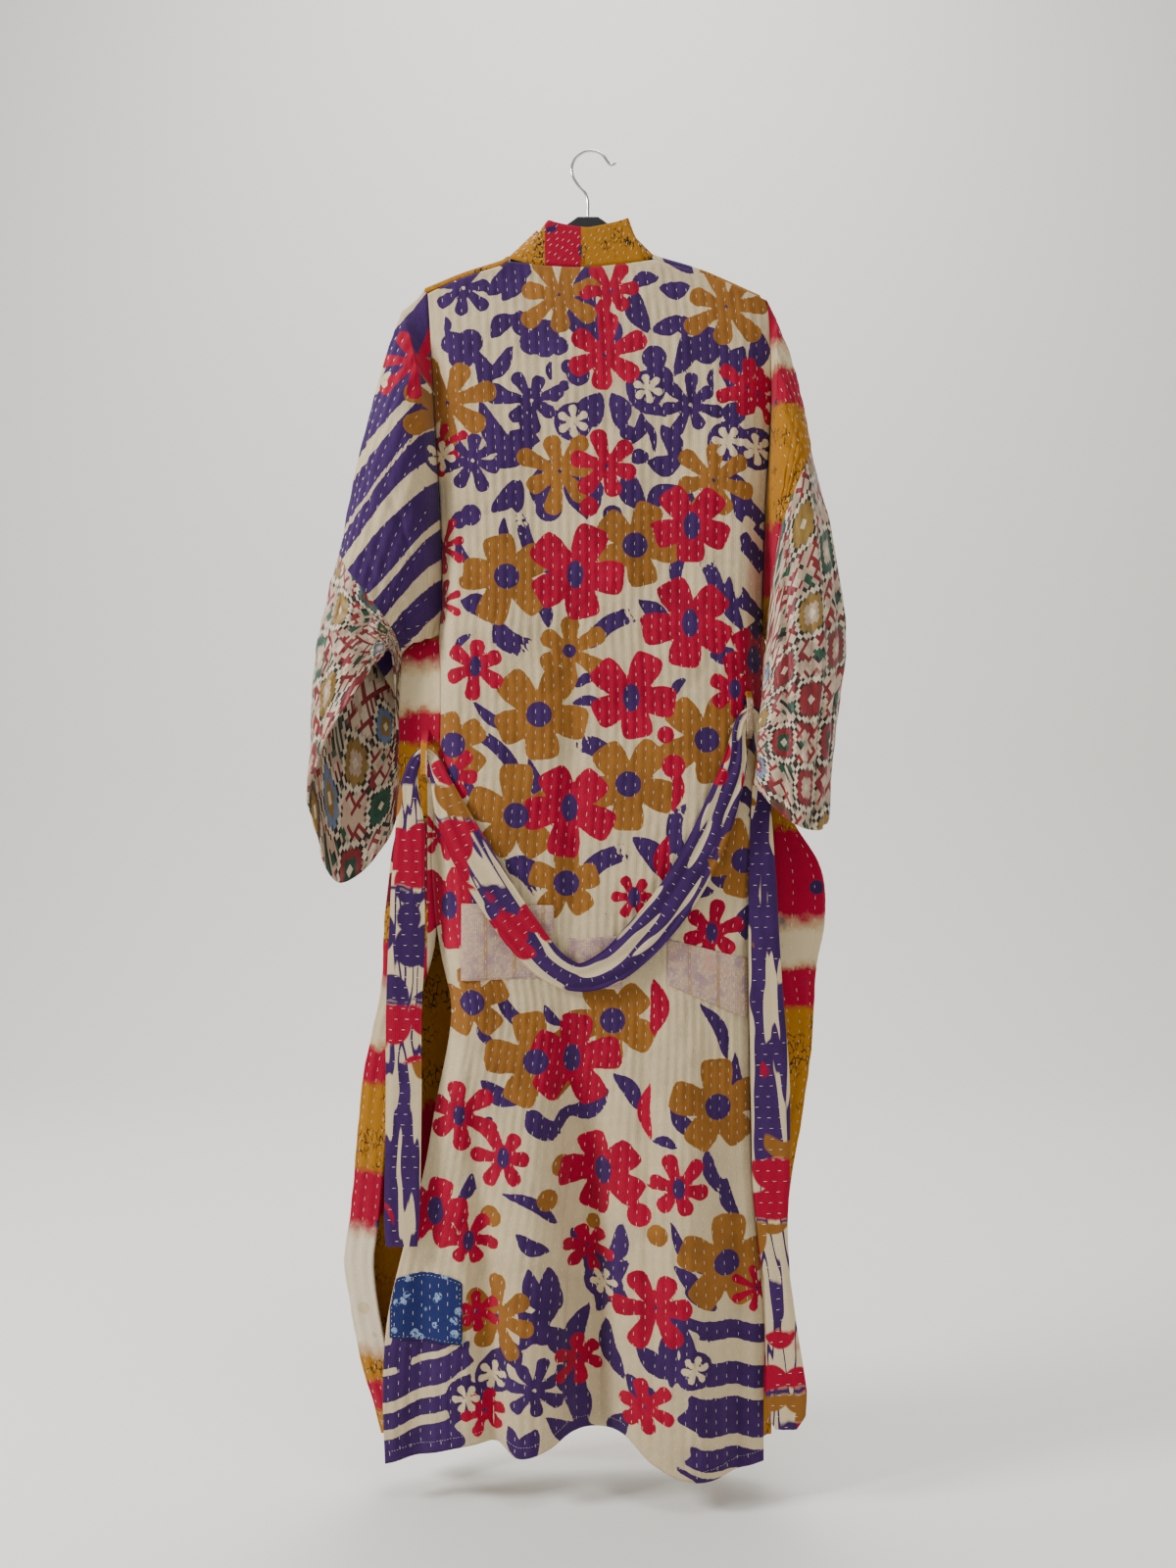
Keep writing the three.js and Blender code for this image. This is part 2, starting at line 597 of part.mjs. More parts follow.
// Belt: a flat folded strip facing -Y. Its route runs from the left tail's end up to the left
// loop, down and across the back as a swag, up to the right loop and down the right tail.
const beltRoute = table(['x', 'y', 'z', 'width'], [
  [-212, -46, -1264, 36], [-212, -46, -1238, 40], [-211, -45, -1186, 41], [-210, -43, -1093, 41],
  [-210, -42, -1000, 41], [-207, -40, -920, 42], [-206, -36, -850, 38], [-204, -33, -790, 34],
  [-206, -30, -750, 24], [-203, -28, -724, 15], [-197, -27, -709, 13], [-188, -28, -702, 12],
  [-178, -32, -710, 13], [-169, -40, -733, 22], [-155, -47, -771, 38], [-134, -50, -814, 46],
  [-106, -52, -861, 46], [-75, -53, -906, 45], [-43, -54, -942, 38], [-11, -54, -957, 32],
  [25, -55, -945, 40], [62, -55, -912, 46], [99, -55, -867, 46], [129, -54, -816, 44],
  [151, -52, -763, 38], [166, -49, -716, 28], [171, -47, -682, 16], [176, -45, -665, 13],
  [184, -44, -657, 12], [193, -41, -666, 13], [198, -38, -692, 15], [198, -36, -749, 21],
  [199, -42, -850, 32], [202, -44, -962, 38], [207, -47, -1074, 45], [208, -49, -1186, 43],
  [209, -51, -1242, 35], [214, -53, -1298, 30], [219, -55, -1358, 36], [224, -57, -1424, 47],
  [224, -58, -1452, 44], [224, -58, -1467, 24],
]);
const beltWall = 3;
const beltSteps = 84;
const beltColumns = 4;
const beltCrown = 0.8;

function belt() {
  const path = new THREE.CatmullRomCurve3(beltRoute.map((row) => vector(row.x, row.y, row.z)),
    false, 'centripetal');
  const outer = [];
  const inner = [];
  for (let k = 0; k <= beltSteps; k += 1) {
    const t = k / beltSteps;
    const place = t * (beltRoute.length - 1);
    const row = Math.min(Math.floor(place), beltRoute.length - 2);
    const width = mix(beltRoute[row].width, beltRoute[row + 1].width, place - row);
    const center = path.getPoint(t);
    const across = path.getTangent(t).cross(vector(0, -1, 0)).normalize();
    const facing = across.clone().cross(path.getTangent(t)).normalize();
    if (facing.y > 0) facing.negate();
    const outerRow = [];
    const innerRow = [];
    for (let i = 0; i <= beltColumns; i += 1) {
      const share = i / beltColumns - 0.5;
      const crown = beltCrown * (1 - 4 * share * share);
      const point = center.clone().addScaledVector(across, share * width);
      outerRow.push(point.clone().addScaledVector(facing, beltWall / 2 - beltCrown + crown));
      innerRow.push(point.clone().addScaledVector(facing, -beltWall / 2));
    }
    outer.push(outerRow);
    inner.push(innerRow);
  }
  return mesh('belt', wallGeometry(outer, inner, false), beltCotton);
}

// Belt loops: narrow strips on the back, standing out where the belt passes under them
const beltLoops = table(
  ['name', 'leftX', 'rightX', 'topZ', 'lowZ', 'outLeftY', 'outRightY'],
  [
    ['belt_loop_left', -192, -184, -675, -736, -29.8, -34.6],
    ['belt_loop_right', 180.5, 188, -632, -686, -47.6, -45.8],
  ],
);
const loopWall = 1.5;
const loopRows = 8;

// Depth of the body's cloth on the viewer's side: the back, or past its left seam the front panel
function bodyFaceY(x, z) {
  if (x >= backEdgeX('left', z)) return backFaceY(x, z);
  const places = [0, 1, 2].map((column) => frontPoint('left', z, column / frontColumns));
  const [a, b] = x > places[1].x ? [places[0], places[1]] : [places[1], places[2]];
  return mix(a.y, b.y, (x - a.x) / (b.x - a.x));
}

function beltLoop(loop) {
  const columns = 2;
  const outer = [];
  const inner = [];
  for (let k = 0; k <= loopRows; k += 1) {
    const share = k / loopRows;
    const z = mix(loop.topZ, loop.lowZ, share);
    const stand = smooth(share, 0, 0.3) * smooth(1 - share, 0, 0.16);
    const outerRow = [];
    const innerRow = [];
    for (let i = 0; i <= columns; i += 1) {
      const x = mix(loop.leftX, loop.rightX, i / columns);
      const seated = bodyFaceY(x, z) - quiltRise - seamGap;
      const out = mix(loop.outLeftY, loop.outRightY, i / columns);
      const y = mix(seated, out, stand);
      outerRow.push(vector(x, y - loopWall, z));
      innerRow.push(vector(x, y, z));
    }
    outer.push(outerRow);
    inner.push(innerRow);
  }
  return mesh(loop.name, wallGeometry(outer, inner, false), bandCotton);
}

// Hanger: flat arms with a raised neck in the middle, under the shoulders' cloth, and a wire hook
const hangerThickness = 6;
const hangerGap = 5.3;
const hangerNeck = table(['x', 'z'], [
  [-58, -112], [-38, -100], [-26, -86], [-12, -76], [12, -76], [26, -86], [38, -98], [60, -122],
]);
const armDepth = 20;
const tipDepth = 11;
const armFrom = 80;
const armTo = 182;
const armPoints = 7;

function hangerBody() {
  const armX = (sign) => Array.from({ length: armPoints }, (_, k) =>
    sign * mix(armFrom, armTo, k / (armPoints - 1)));
  const topPoint = (x) => [x, shoulderTopZ(x) - hangerGap];
  const lowPoint = (x) => [x, shoulderTopZ(x) - hangerGap
    - mix(armDepth, tipDepth, (Math.abs(x) - armFrom) / (armTo - armFrom))];
  const top = [
    ...armX(-1).reverse().map(topPoint),
    ...hangerNeck.map((row) => [row.x, row.z]),
    ...armX(1).map(topPoint),
  ];
  const leftTip = [[-197, -181], [-207, -188], [-207, -199], [-199, -202]];
  const rightTip = [[201, -205], [209, -202], [209, -193], [201, -182]];
  const outline = [...leftTip.slice(0, 2).reverse(), ...top, ...[...rightTip].reverse(),
    ...armX(1).reverse().map(lowPoint), [40, -130], [-40, -132], ...armX(-1).map(lowPoint),
    ...leftTip.slice(2).reverse()];
  const shape = new THREE.Shape(outline.map(([x, z]) => new THREE.Vector2(x, z)));
  const depth = hangerThickness;
  const geometry = new THREE.ExtrudeGeometry(shape, { depth, bevelEnabled: false });
  geometry.rotateX(Math.PI / 2);
  geometry.translate(0, hangerThickness / 2, 0);
  return mesh('hanger_arms', geometry, hangerBlack);
}

const hookWire = 3.4;
const hookRadius = 22;
const hookSides = 8;
const hookSteps = 34;
const hookCenter = { x: 3, z: seatZ - hookRadius + hookWire / 2 };
const stemFootZ = -76 + seamGap;

function hangerHook() {
  const arc = (degrees) => {
    const angle = THREE.MathUtils.degToRad(degrees);
    return vector(hookCenter.x + hookRadius * Math.cos(angle), 0,
      hookCenter.z + hookRadius * Math.sin(angle));
  };
  const points = [vector(0, 0, stemFootZ), vector(0, 0, -68), vector(0, 0, -58), vector(-3, 0, -48),
    vector(-11, 0, -39)];
  for (let degrees = 205; degrees >= 25; degrees -= 20) points.push(arc(degrees));
  points.push(vector(27, 0, -15), vector(33, 0, -12));
  const path = new THREE.CatmullRomCurve3(points, false, 'centripetal');
  const corners = Array.from({ length: hookSides }, (_, k) => {
    const angle = (2 * Math.PI * k) / hookSides;
    return new THREE.Vector2(Math.cos(angle), Math.sin(angle)).multiplyScalar(hookWire / 2);
  });
  const geometry = new THREE.ExtrudeGeometry(new THREE.Shape(corners), {
    steps: hookSteps, bevelEnabled: false, extrudePath: path,
  });
  return mesh('hanger_hook', geometry, hookChrome);
}

// Build
makePanel('back_panel', backGrid(), -1, clothWall, true, [['left', 0], ['right', backColumns]]);
makePanel('front_left_panel', frontGrid('left'), 1, clothWall, false, [['left', 0]]);
makePanel('front_right_panel', frontGrid('right'), -1, clothWall, false, [['right', 0]]);

const robe = new THREE.Group();
robe.add(panelMesh('back_panel', printedCotton));
robe.add(panelMesh('front_left_panel', bandCotton));
robe.add(panelMesh('front_right_panel', bandCotton));
for (const side of ['left', 'right']) robe.add(...sleeveSolids(side, printedCotton, printedSilk));
robe.add(neckband());
robe.add(belt());
for (const loop of beltLoops) robe.add(beltLoop(loop));
for (const patch of patches) robe.add(patchMesh(patch));
robe.add(hangerBody());
robe.add(hangerHook());

export default robe;
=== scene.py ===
# A patchwork kimono robe of quilted old cottons, seen from its back on a slim black hanger.
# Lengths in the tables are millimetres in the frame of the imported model, +Z up, back facing -Y.
import bmesh
import bpy
import numpy as np
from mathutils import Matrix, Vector


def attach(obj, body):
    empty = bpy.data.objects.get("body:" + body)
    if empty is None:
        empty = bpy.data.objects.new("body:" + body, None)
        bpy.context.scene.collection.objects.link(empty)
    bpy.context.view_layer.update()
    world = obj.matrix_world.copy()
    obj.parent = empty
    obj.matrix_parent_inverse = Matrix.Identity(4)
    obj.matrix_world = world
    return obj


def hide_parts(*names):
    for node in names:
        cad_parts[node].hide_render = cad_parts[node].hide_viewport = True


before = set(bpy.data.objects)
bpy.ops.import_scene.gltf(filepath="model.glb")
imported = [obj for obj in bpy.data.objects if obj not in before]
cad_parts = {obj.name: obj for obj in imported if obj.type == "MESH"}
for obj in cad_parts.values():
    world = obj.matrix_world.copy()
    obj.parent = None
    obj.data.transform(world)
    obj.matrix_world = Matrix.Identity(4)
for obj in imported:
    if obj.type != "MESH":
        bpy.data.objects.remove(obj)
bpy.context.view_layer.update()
millimetre = 0.001

# Smooth curves and grids


def mix(a, b, share):  # a at 0, b at 1
    return a + (b - a) * share


def smooth(value, low, high):  # 0 below low, 1 above high, 3t^2 - 2t^3 between
    t = np.clip((value - low) / (high - low), 0, 1)
    return t * t * (3 - 2 * t)


def through(keys, values, at):
    # Cubic Hermite curve through rows of key and value; a row's slope is its neighbours' chord
    keys = [np.asarray(key, float) for key in keys]
    turn = 1 if np.all(keys[-1] > keys[0]) else -1
    found = None
    for i in range(len(keys) - 1):
        before, after = max(i - 1, 0), min(i + 2, len(keys) - 1)
        span = keys[i + 1] - keys[i]
        startSlope = (values[i + 1] - values[before]) / (keys[i + 1] - keys[before]) * span
        endSlope = (values[after] - values[i]) / (keys[after] - keys[i]) * span
        t = np.clip((at - keys[i]) / span, 0, 1)
        part = ((2 * t**3 - 3 * t**2 + 1) * values[i] + (t**3 - 2 * t**2 + t) * startSlope
                + (3 * t**2 - 2 * t**3) * values[i + 1] + (t**3 - t**2) * endSlope)
        found = part if i == 0 else np.where(turn * (at - keys[i]) > 0, part, found)
    return found


def path(corners, t, closed=False):
    # Centripetal Catmull-Rom path through corners (..., n, 3), t from 0 to 1
    corners = np.asarray(corners, float)
    count = corners.shape[-2]
    place = np.asarray(t, float) * (count if closed else count - 1)
    first = np.floor(place).astype(int)
    if not closed:
        first = np.minimum(first, count - 2)
    share = (place - first)[:, None]
    if closed:
        p0, p1, p2, p3 = (corners[..., (first + k) % count, :] for k in (-1, 0, 1, 2))
    else:
        start = 2 * corners[..., :1, :] - corners[..., 1:2, :]
        end = 2 * corners[..., -1:, :] - corners[..., -2:-1, :]
        longer = np.concatenate([start, corners, end], axis=-2)
        p0, p1, p2, p3 = (longer[..., first + k, :] for k in (0, 1, 2, 3))
    d0, d1, d2 = (np.maximum(np.linalg.norm(b - a, axis=-1, keepdims=True), 1e-8) ** 0.5
                  for a, b in ((p0, p1), (p1, p2), (p2, p3)))
    m1 = ((p1 - p0) / d0 - (p2 - p0) / (d0 + d1) + (p2 - p1) / d1) * d1
    m2 = ((p2 - p1) / d1 - (p3 - p1) / (d1 + d2) + (p3 - p2) / d2) * d1
    return (p1 + m1 * share + (3 * (p2 - p1) - 2 * m1 - m2) * share**2
            + (2 * (p1 - p2) + m1 + m2) * share**3)


def gridNormals(grid, closed=False):
    # Unit normals of a grid (rows, columns, 3): across x down, by central differences
    if closed:
        across = np.roll(grid, -1, 1) - np.roll(grid, 1, 1)
    else:
        across = np.gradient(grid, axis=1)
    normals = np.cross(across, np.gradient(grid, axis=0))
    return normals / np.maximum(np.linalg.norm(normals, axis=2, keepdims=True), 1e-9)


def onGrid(grid, j, i):
    # A grid's value between its points, bilinear in the row j and the column i
    rows, columns = grid.shape[:2]
    j, i = np.clip(j, 0, rows - 1.001), np.clip(i, 0, columns - 1.001)
    j0, i0 = j.astype(int), i.astype(int)
    tj, ti = (j - j0)[..., None], (i - i0)[..., None]
    return (grid[j0, i0] * (1 - tj) * (1 - ti) + grid[j0 + 1, i0] * tj * (1 - ti)
            + grid[j0, i0 + 1] * (1 - tj) * ti + grid[j0 + 1, i0 + 1] * tj * ti)


# Meshes


def signedVolume(points, faces):
    # Sum over each face's fan of triangles of a . (b x c) / 6
    total = 0
    for block in faces:
        for k in range(1, block.shape[1] - 1):
            a, b, c = points[block[:, 0]], points[block[:, k]], points[block[:, k + 1]]
            total += np.einsum("ij,ij->", a, np.cross(b, c))
    return total / 6


def facingOut(points, blocks):
    # The faces, turned over where the volume that they enclose comes out negative
    if signedVolume(points, blocks) < 0:
        return [block[:, ::-1] for block in blocks]
    return blocks


def makePiece(name, points, faces, materials, layers=None, uv=None, values=None,
              replaced=(), period=None):
    # One object from points in millimetres and blocks of faces with equal corner counts
    mesh = bpy.data.meshes.new(name)
    mesh.vertices.add(len(points))
    mesh.vertices.foreach_set("co", (points * millimetre).astype(np.float32).ravel())
    corners = np.concatenate([block.ravel() for block in faces]).astype(np.int32)
    sizes = np.concatenate([np.full(len(block), block.shape[1]) for block in faces])
    mesh.loops.add(len(corners))
    mesh.loops.foreach_set("vertex_index", corners)
    mesh.polygons.add(len(sizes))
    starts = np.concatenate([[0], np.cumsum(sizes)[:-1]]).astype(np.int32)
    mesh.polygons.foreach_set("loop_start", starts)
    mesh.polygons.foreach_set("use_smooth", np.ones(len(sizes), bool))
    for material in materials:
        mesh.materials.append(material)
    if layers is not None:
        mesh.polygons.foreach_set("material_index", layers.astype(np.int32))
    mesh.update(calc_edges=True)
    if uv is not None:
        layer = mesh.uv_layers.new(name="cloth")
        places = uv[corners]
        if period:  # a face over a tube's seam takes its far corners one turn on
            farthest = np.repeat(np.maximum.reduceat(places[:, 0], starts), sizes)
            places[:, 0] += np.where(farthest - places[:, 0] > period / 2, period, 0)
        layer.data.foreach_set("uv", (places * millimetre).astype(np.float32).ravel())
    for key, numbers in (values or {}).items():
        attribute = mesh.attributes.new(key, "FLOAT", "POINT")
        attribute.data.foreach_set("value", numbers.astype(np.float32).ravel())
    piece = bpy.data.objects.new(name, mesh)
    bpy.context.scene.collection.objects.link(piece)
    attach(piece, "root")
    if replaced:
        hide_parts(*replaced)
    return piece


def wallFaces(rows, columns, step, closed):
    # Faces of a wall: a fine outer grid, an inner grid coarser by step, and rims that join them
    innerRows, innerColumns = (rows - 1) // step + 1, (columns if closed else columns - 1) // step
    innerWidth = innerColumns if closed else innerColumns + 1
    outerAt = lambda j, i: j * columns + i % columns
    innerAt = lambda j, i: rows * columns + j * innerWidth + i % innerWidth
    j, i = np.meshgrid(np.arange(rows - 1), np.arange(columns if closed else columns - 1),
                       indexing="ij")
    outer = np.stack([outerAt(j, i), outerAt(j + 1, i), outerAt(j + 1, i + 1), outerAt(j, i + 1)], -1)
    j, i = np.meshgrid(np.arange(innerRows - 1), np.arange(innerColumns), indexing="ij")
    inner = np.stack([innerAt(j, i), innerAt(j, i + 1), innerAt(j + 1, i + 1), innerAt(j + 1, i)], -1)
    fine = np.arange(step + 1)
    k = np.arange(innerColumns)[:, None]
    last, lastInner = rows - 1, innerRows - 1
    rims = [np.hstack([outerAt(0, k * step + fine), innerAt(0, k + 1), innerAt(0, k)]),
            np.hstack([outerAt(last, k * step + fine[::-1]), innerAt(lastInner, k),
                       innerAt(lastInner, k + 1)])]
    if not closed:
        k = np.arange(innerRows - 1)[:, None]
        end = columns - 1
        rims.append(np.hstack([outerAt(k * step + fine[::-1], 0), innerAt(k, 0), innerAt(k + 1, 0)]))
        rims.append(np.hstack([outerAt(k * step + fine, end), innerAt(k + 1, innerColumns),
                               innerAt(k, innerColumns)]))
    return outer.reshape(-1, 4), inner.reshape(-1, 4), np.concatenate(rims)


def wallPiece(name, outer, inner, step, closed, materials, uv, values=None,
              replaced=(), period=None):
    # A closed cloth wall between an outer grid and every step-th point of an inner one
    rows, columns = outer.shape[:2]
    blocks = wallFaces(rows, columns, step, closed)
    thin = (slice(None, None, step), slice(None, None, step))
    points = np.concatenate([outer.reshape(-1, 3), inner[thin].reshape(-1, 3)])
    joined = {key: np.concatenate([grid.ravel(), grid[thin].ravel()])
              for key, grid in (values or {}).items()}
    flat = np.concatenate([uv.reshape(-1, 2), uv[thin].reshape(-1, 2)])
    layers = np.concatenate([np.full(len(block), k) for block, k in zip(blocks, (0, 1, 0))])
    if len(materials) == 1:
        layers = None
    return makePiece(name, points, facingOut(points, blocks), materials, layers, flat,
                     joined, replaced, period)


def tubeFaces(rows, around):
    # Faces of a tube of rings, row by row: four-sided ones along it, and one over each end
    at = lambda j, i: j * around + i % around
    j, i = np.meshgrid(np.arange(rows - 1), np.arange(around), indexing="ij")
    sides = np.stack([at(j, i), at(j, i + 1), at(j + 1, i + 1), at(j + 1, i)], -1)
    ends = np.stack([np.arange(around), at(rows - 1, np.arange(around))[::-1]])
    return [sides.reshape(-1, 4), ends]


def tubePiece(name, line, radius, sides, material, replaced=()):
    # A round tube along a line in the XZ plane: circles across each point's tangent, ends closed
    tangent = np.gradient(line, axis=0)
    tangent /= np.linalg.norm(tangent, axis=1, keepdims=True)
    across = np.cross(tangent, (0, 1, 0))
    angle = np.linspace(0, 2 * np.pi, sides, endpoint=False)[None, :, None]
    radius = np.broadcast_to(radius, len(line))[:, None, None]
    rings = line[:, None] + radius * (np.cos(angle) * across[:, None]
                                      + np.sin(angle) * np.array([0.0, 1.0, 0.0]))
    points = rings.reshape(-1, 3)
    blocks = facingOut(points, tubeFaces(len(line), sides))
    return makePiece(name, points, blocks, [material], replaced=replaced)


# The body's surfaces, from the same sections as the solids

body = {
    "underarmZ": -565, "slitTopZ": -885, "armRows": 10, "sideRows": 7, "slitRows": 14,
    "seamGap": 0.3, "wall": 2.0, "frontHemZ": -1500, "foldShare": 2 / 13,
    "neckLeftX": -92, "neckRightX": 76, "frontTopDrop": 10,
}
backColumnNames = ("z", "leftX", "leftY", "leftFoldX", "leftFoldY", "midY", "rightFoldX",
                   "rightFoldY", "rightX", "rightY")
backSections = np.array([
    [-120, -190, -7, -150, -8, -8, 150, -8, 200, -7],
    [-200, -184, -10, -150, -18, -22, 165, -18, 210, -10],
    [-300, -179, -12, -150, -28, -31, 172, -28, 212, -12],
    [-430, -171, -12, -150, -34, -37, 176, -35, 205, -12],
    [-530, -170, -6, -153, -36, -39, 177, -37, 203, -6],
    [-565, -174, -1, -154, -37, -40, 177, -38, 204, -1],
    [-612, -170, -20, -152, -38, -41, 177, -38, 206, -2],
    [-700, -171, -22, -148, -38, -42, 178, -38, 208, -4],
    [-778, -178, -18, -145, -38, -42, 179, -38, 206, -5],
    [-816, -181, -16, -143, -38, -43, 180, -38, 202, -10],
    [-885, -177, -18, -143, -39, -44, 179, -38, 194, -20],
    [-930, -170, -24, -143, -40, -45, 170, -40, 185, -29],
    [-1001, -157, -30, -135, -42, -46, 165, -43, 184, -35],
    [-1111, -176, -29, -140, -42, -47, 165, -45, 185, -38],
    [-1185, -189, -29, -145, -42, -48, 165, -46, 187, -40],
    [-1270, -212, -30, -160, -43, -50, 170, -47, 194, -42],
    [-1352, -230, -32, -175, -44, -51, 175, -48, 201, -43],
    [-1430, -235, -34, -180, -45, -52, 175, -49, 200, -44],
    [-1525, -232, -36, -180, -46, -53, 175, -50, 200, -45],
], float)
# Folds: top x, top z, low x, low z, depth (a trough is positive), half width
backFolds = [
    (-17, -424, -17, -1000, 6, 16), (-14, -960, 10, -1500, 40, 30),
    (-70, -1000, -66, -1500, -12, 34), (96, -900, 118, -1500, -20, 46),
    (-128, -1060, -104, -1500, 14, 15), (-118, -700, -150, -1200, -7, 26),
    (-66, -250, -60, -560, 5, 30), (78, -230, 96, -620, 6, 34),
    (112, -620, 128, -900, -6, 24), (-178, -1150, -196, -1500, 9, 18),
    (160, -1050, 168, -1500, 8, 16),
]
backTopLine = np.array([[-190, -168], [-146, -150], [-100, -135], [-94, -131], [-52, -136],
                        [-11, -138], [40, -134], [76, -129], [82, -131], [134, -147],
                        [200, -176]], float)
backHemLine = np.array([[-232, -1516], [-186, -1503], [-148, -1493], [-104, -1487], [-80, -1499],
                        [-43, -1490], [-20, -1479], [10, -1482], [42, -1480], [70, -1504],
                        [101, -1518], [137, -1521], [200, -1508]], float)


def backValue(name, z):
    # One column of the back's sections at a height
    return through(backSections[:, 0], backSections[:, backColumnNames.index(name)], z)


def foldDepth(x, z):
    # Sum of folds: depth x fade along x exp(-(distance from the fold's line / half width)^2)
    total = np.zeros(np.broadcast(x, z).shape)
    for topX, topZ, lowX, lowZ, depth, halfWidth in backFolds:
        along = (z - topZ) / (lowZ - topZ)
        fade = smooth(along, 0, 0.55)
        if lowZ > -1450:
            fade = fade * (1 - smooth(along, 0.7, 1))
        total += depth * fade * np.exp(-((x - mix(topX, lowX, along)) / halfWidth) ** 2)
    return total


def backFaceY(x, z):
    # Depth of the back's face: a curve through its edges, side folds and middle, plus the folds
    keys = [backValue("leftX", z), backValue("leftFoldX", z), None, backValue("rightFoldX", z),
            backValue("rightX", z)]
    keys[2] = mix(keys[1], keys[3], 0.5)
    depths = [backValue(name, z) for name in ("leftY", "leftFoldY", "midY", "rightFoldY", "rightY")]
    fromEdge = np.minimum(x - keys[0], keys[4] - x)
    return through(keys, depths, x) + foldDepth(x, z) * smooth(fromEdge, 0, 25)


def rowHeight(topZ, hemZ, row):
    # Height of a row: even steps from the top to the underarm, to the slit's top, to the hem
    arm, side = body["armRows"], body["sideRows"]
    upper = mix(topZ, body["underarmZ"], row / arm)
    middle = mix(body["underarmZ"], body["slitTopZ"], (row - arm) / side)
    lower = mix(body["slitTopZ"], hemZ, (row - arm - side) / body["slitRows"])
    return np.where(row <= arm, upper, np.where(row <= arm + side, middle, lower))


lastRow = body["armRows"] + body["sideRows"] + body["slitRows"]


def backGrid(rows, columns):
    # Points of the back: share across between its edges, rows down between its top and hem lines
    row = np.linspace(0, lastRow, rows)[:, None]
    share = np.linspace(0, 1, columns)[None, :]
    topX = mix(backTopLine[0, 0], backTopLine[-1, 0], share)
    hemX = mix(backHemLine[0, 0], backHemLine[-1, 0], share)
    topZ = through(backTopLine[:, 0], backTopLine[:, 1], topX)
    hemZ = through(backHemLine[:, 0], backHemLine[:, 1], hemX)
    z = rowHeight(topZ, hemZ, row)
    x = mix(backValue("leftX", z), backValue("rightX", z), share)
    return np.stack([x, backFaceY(x, z), z], -1)


frontColumnNames = ("z", "foldOut", "foldY", "faceOut", "faceY", "openOut", "openY")
frontSections = {
    "left": np.array([
        [-160, 190, 7, 150, 8, 92, 8], [-200, 184, 16, 150, 20, 84, 16],
        [-300, 178, 20, 140, 30, 70, 26], [-430, 172, 20, 130, 36, 60, 34],
        [-530, 172, 14, 130, 38, 58, 38], [-565, 199, 8, 130, 39, 58, 39],
        [-583, 216, 6, 132, 39.5, 58, 39.5], [-610, 219, 5, 134, 40, 58, 40],
        [-650, 221, 4, 136, 40, 58, 40],
        [-700, 221, 3, 140, 40, 58, 41], [-778, 222, 4, 140, 41, 58, 42],
        [-822, 230, 4, 145, 42, 58, 43], [-885, 238, 4, 150, 43, 58, 44],
        [-980, 243, 4, 150, 45, 58, 45], [-1084, 262, 6, 160, 47, 58, 46],
        [-1241, 277, 8, 170, 50, 58, 48], [-1300, 284, 10, 170, 51, 58, 49],
        [-1400, 268, 12, 165, 52, 58, 50], [-1510, 240, 14, 160, 54, 58, 51]], float),
    "right": np.array([
        [-160, 200, 7, 150, 8, 76, 8], [-200, 209, 16, 160, 20, 72, 16],
        [-300, 211, 20, 160, 30, 66, 26], [-430, 204, 20, 150, 36, 60, 34],
        [-530, 203, 14, 150, 38, 58, 38], [-565, 206, 8, 150, 39, 58, 39],
        [-626, 213, 4, 155, 40, 58, 40], [-700, 222, 4, 155, 40, 58, 41],
        [-778, 238, 4, 160, 41, 58, 42], [-835, 272, 4, 165, 42, 58, 43],
        [-899, 278, 4, 170, 43, 58, 44], [-960, 266, 4, 170, 45, 58, 45],
        [-1060, 259, 6, 165, 47, 58, 46], [-1150, 246, 8, 160, 48, 58, 47],
        [-1240, 233, 8, 155, 50, 58, 48], [-1350, 222, 10, 150, 51, 58, 49],
        [-1510, 214, 12, 150, 54, 58, 51]], float),
}
# Over the shoulder, from the back's seam to the front: drop below the top line, and depth
shoulderWrap = np.array([[9, -7], [3.5, -5.6], [0, 0], [3.5, 5.6], [10, 8]], float)
signOf = {"left": -1, "right": 1}


def frontValue(side, name, z):
    # One column of a front's sections at a height
    rows = frontSections[side]
    return through(rows[:, 0], rows[:, frontColumnNames.index(name)], z)


def shoulderTopZ(x):
    # Height of the shoulder fold: the back's top line, a wrap's drop and a seam's gap above it
    return through(backTopLine[:, 0], backTopLine[:, 1], x) + shoulderWrap[0, 0] + body["seamGap"]


def frontEdge(side, z):
    # Side seam or slit edge of a front: on the back's seam, parting from it below the slit's top
    freeX = signOf[side] * (frontValue(side, "foldOut", z) - 34)
    apart = smooth(body["slitTopZ"] - z, 0, 140)
    seamX, seamY = backValue(side + "X", z), backValue(side + "Y", z)
    above = z > body["underarmZ"]
    x = np.where(above, seamX, mix(seamX, freeX, apart))
    y = np.where(above, -seamY, mix(seamY + body["seamGap"], -9, apart))
    return x, y


def frontPoint(side, z, share):
    # Across a front: from its edge round its fold, over its face, to the opening, with a ripple
    sign, fold = signOf[side], body["foldShare"]
    edgeX, edgeY = frontEdge(side, z)
    turned = smooth(body["underarmZ"] - z, -60, 45)
    foldOut, faceY = frontValue(side, "foldOut", z), frontValue(side, "faceY", z)
    foldX = sign * mix(foldOut - 10, foldOut, turned)
    foldY = mix((edgeY + faceY) / 2, frontValue(side, "foldY", z), turned)
    keys = (0, fold, 0.45, 1)
    xs = [edgeX, foldX, sign * frontValue(side, "faceOut", z), sign * frontValue(side, "openOut", z)]
    ys = [edgeY, foldY, faceY, frontValue(side, "openY", z)]
    ripple = 5 * smooth(-z, 700, 1400) * np.sin(share * 17 + z / 190)
    held = smooth(share, fold, 0.4) * (1 - smooth(share, 0.75, 1))
    return np.stack([through(keys, xs, share), through(keys, ys, share) + ripple * held,
                     z + 0 * share], -1)


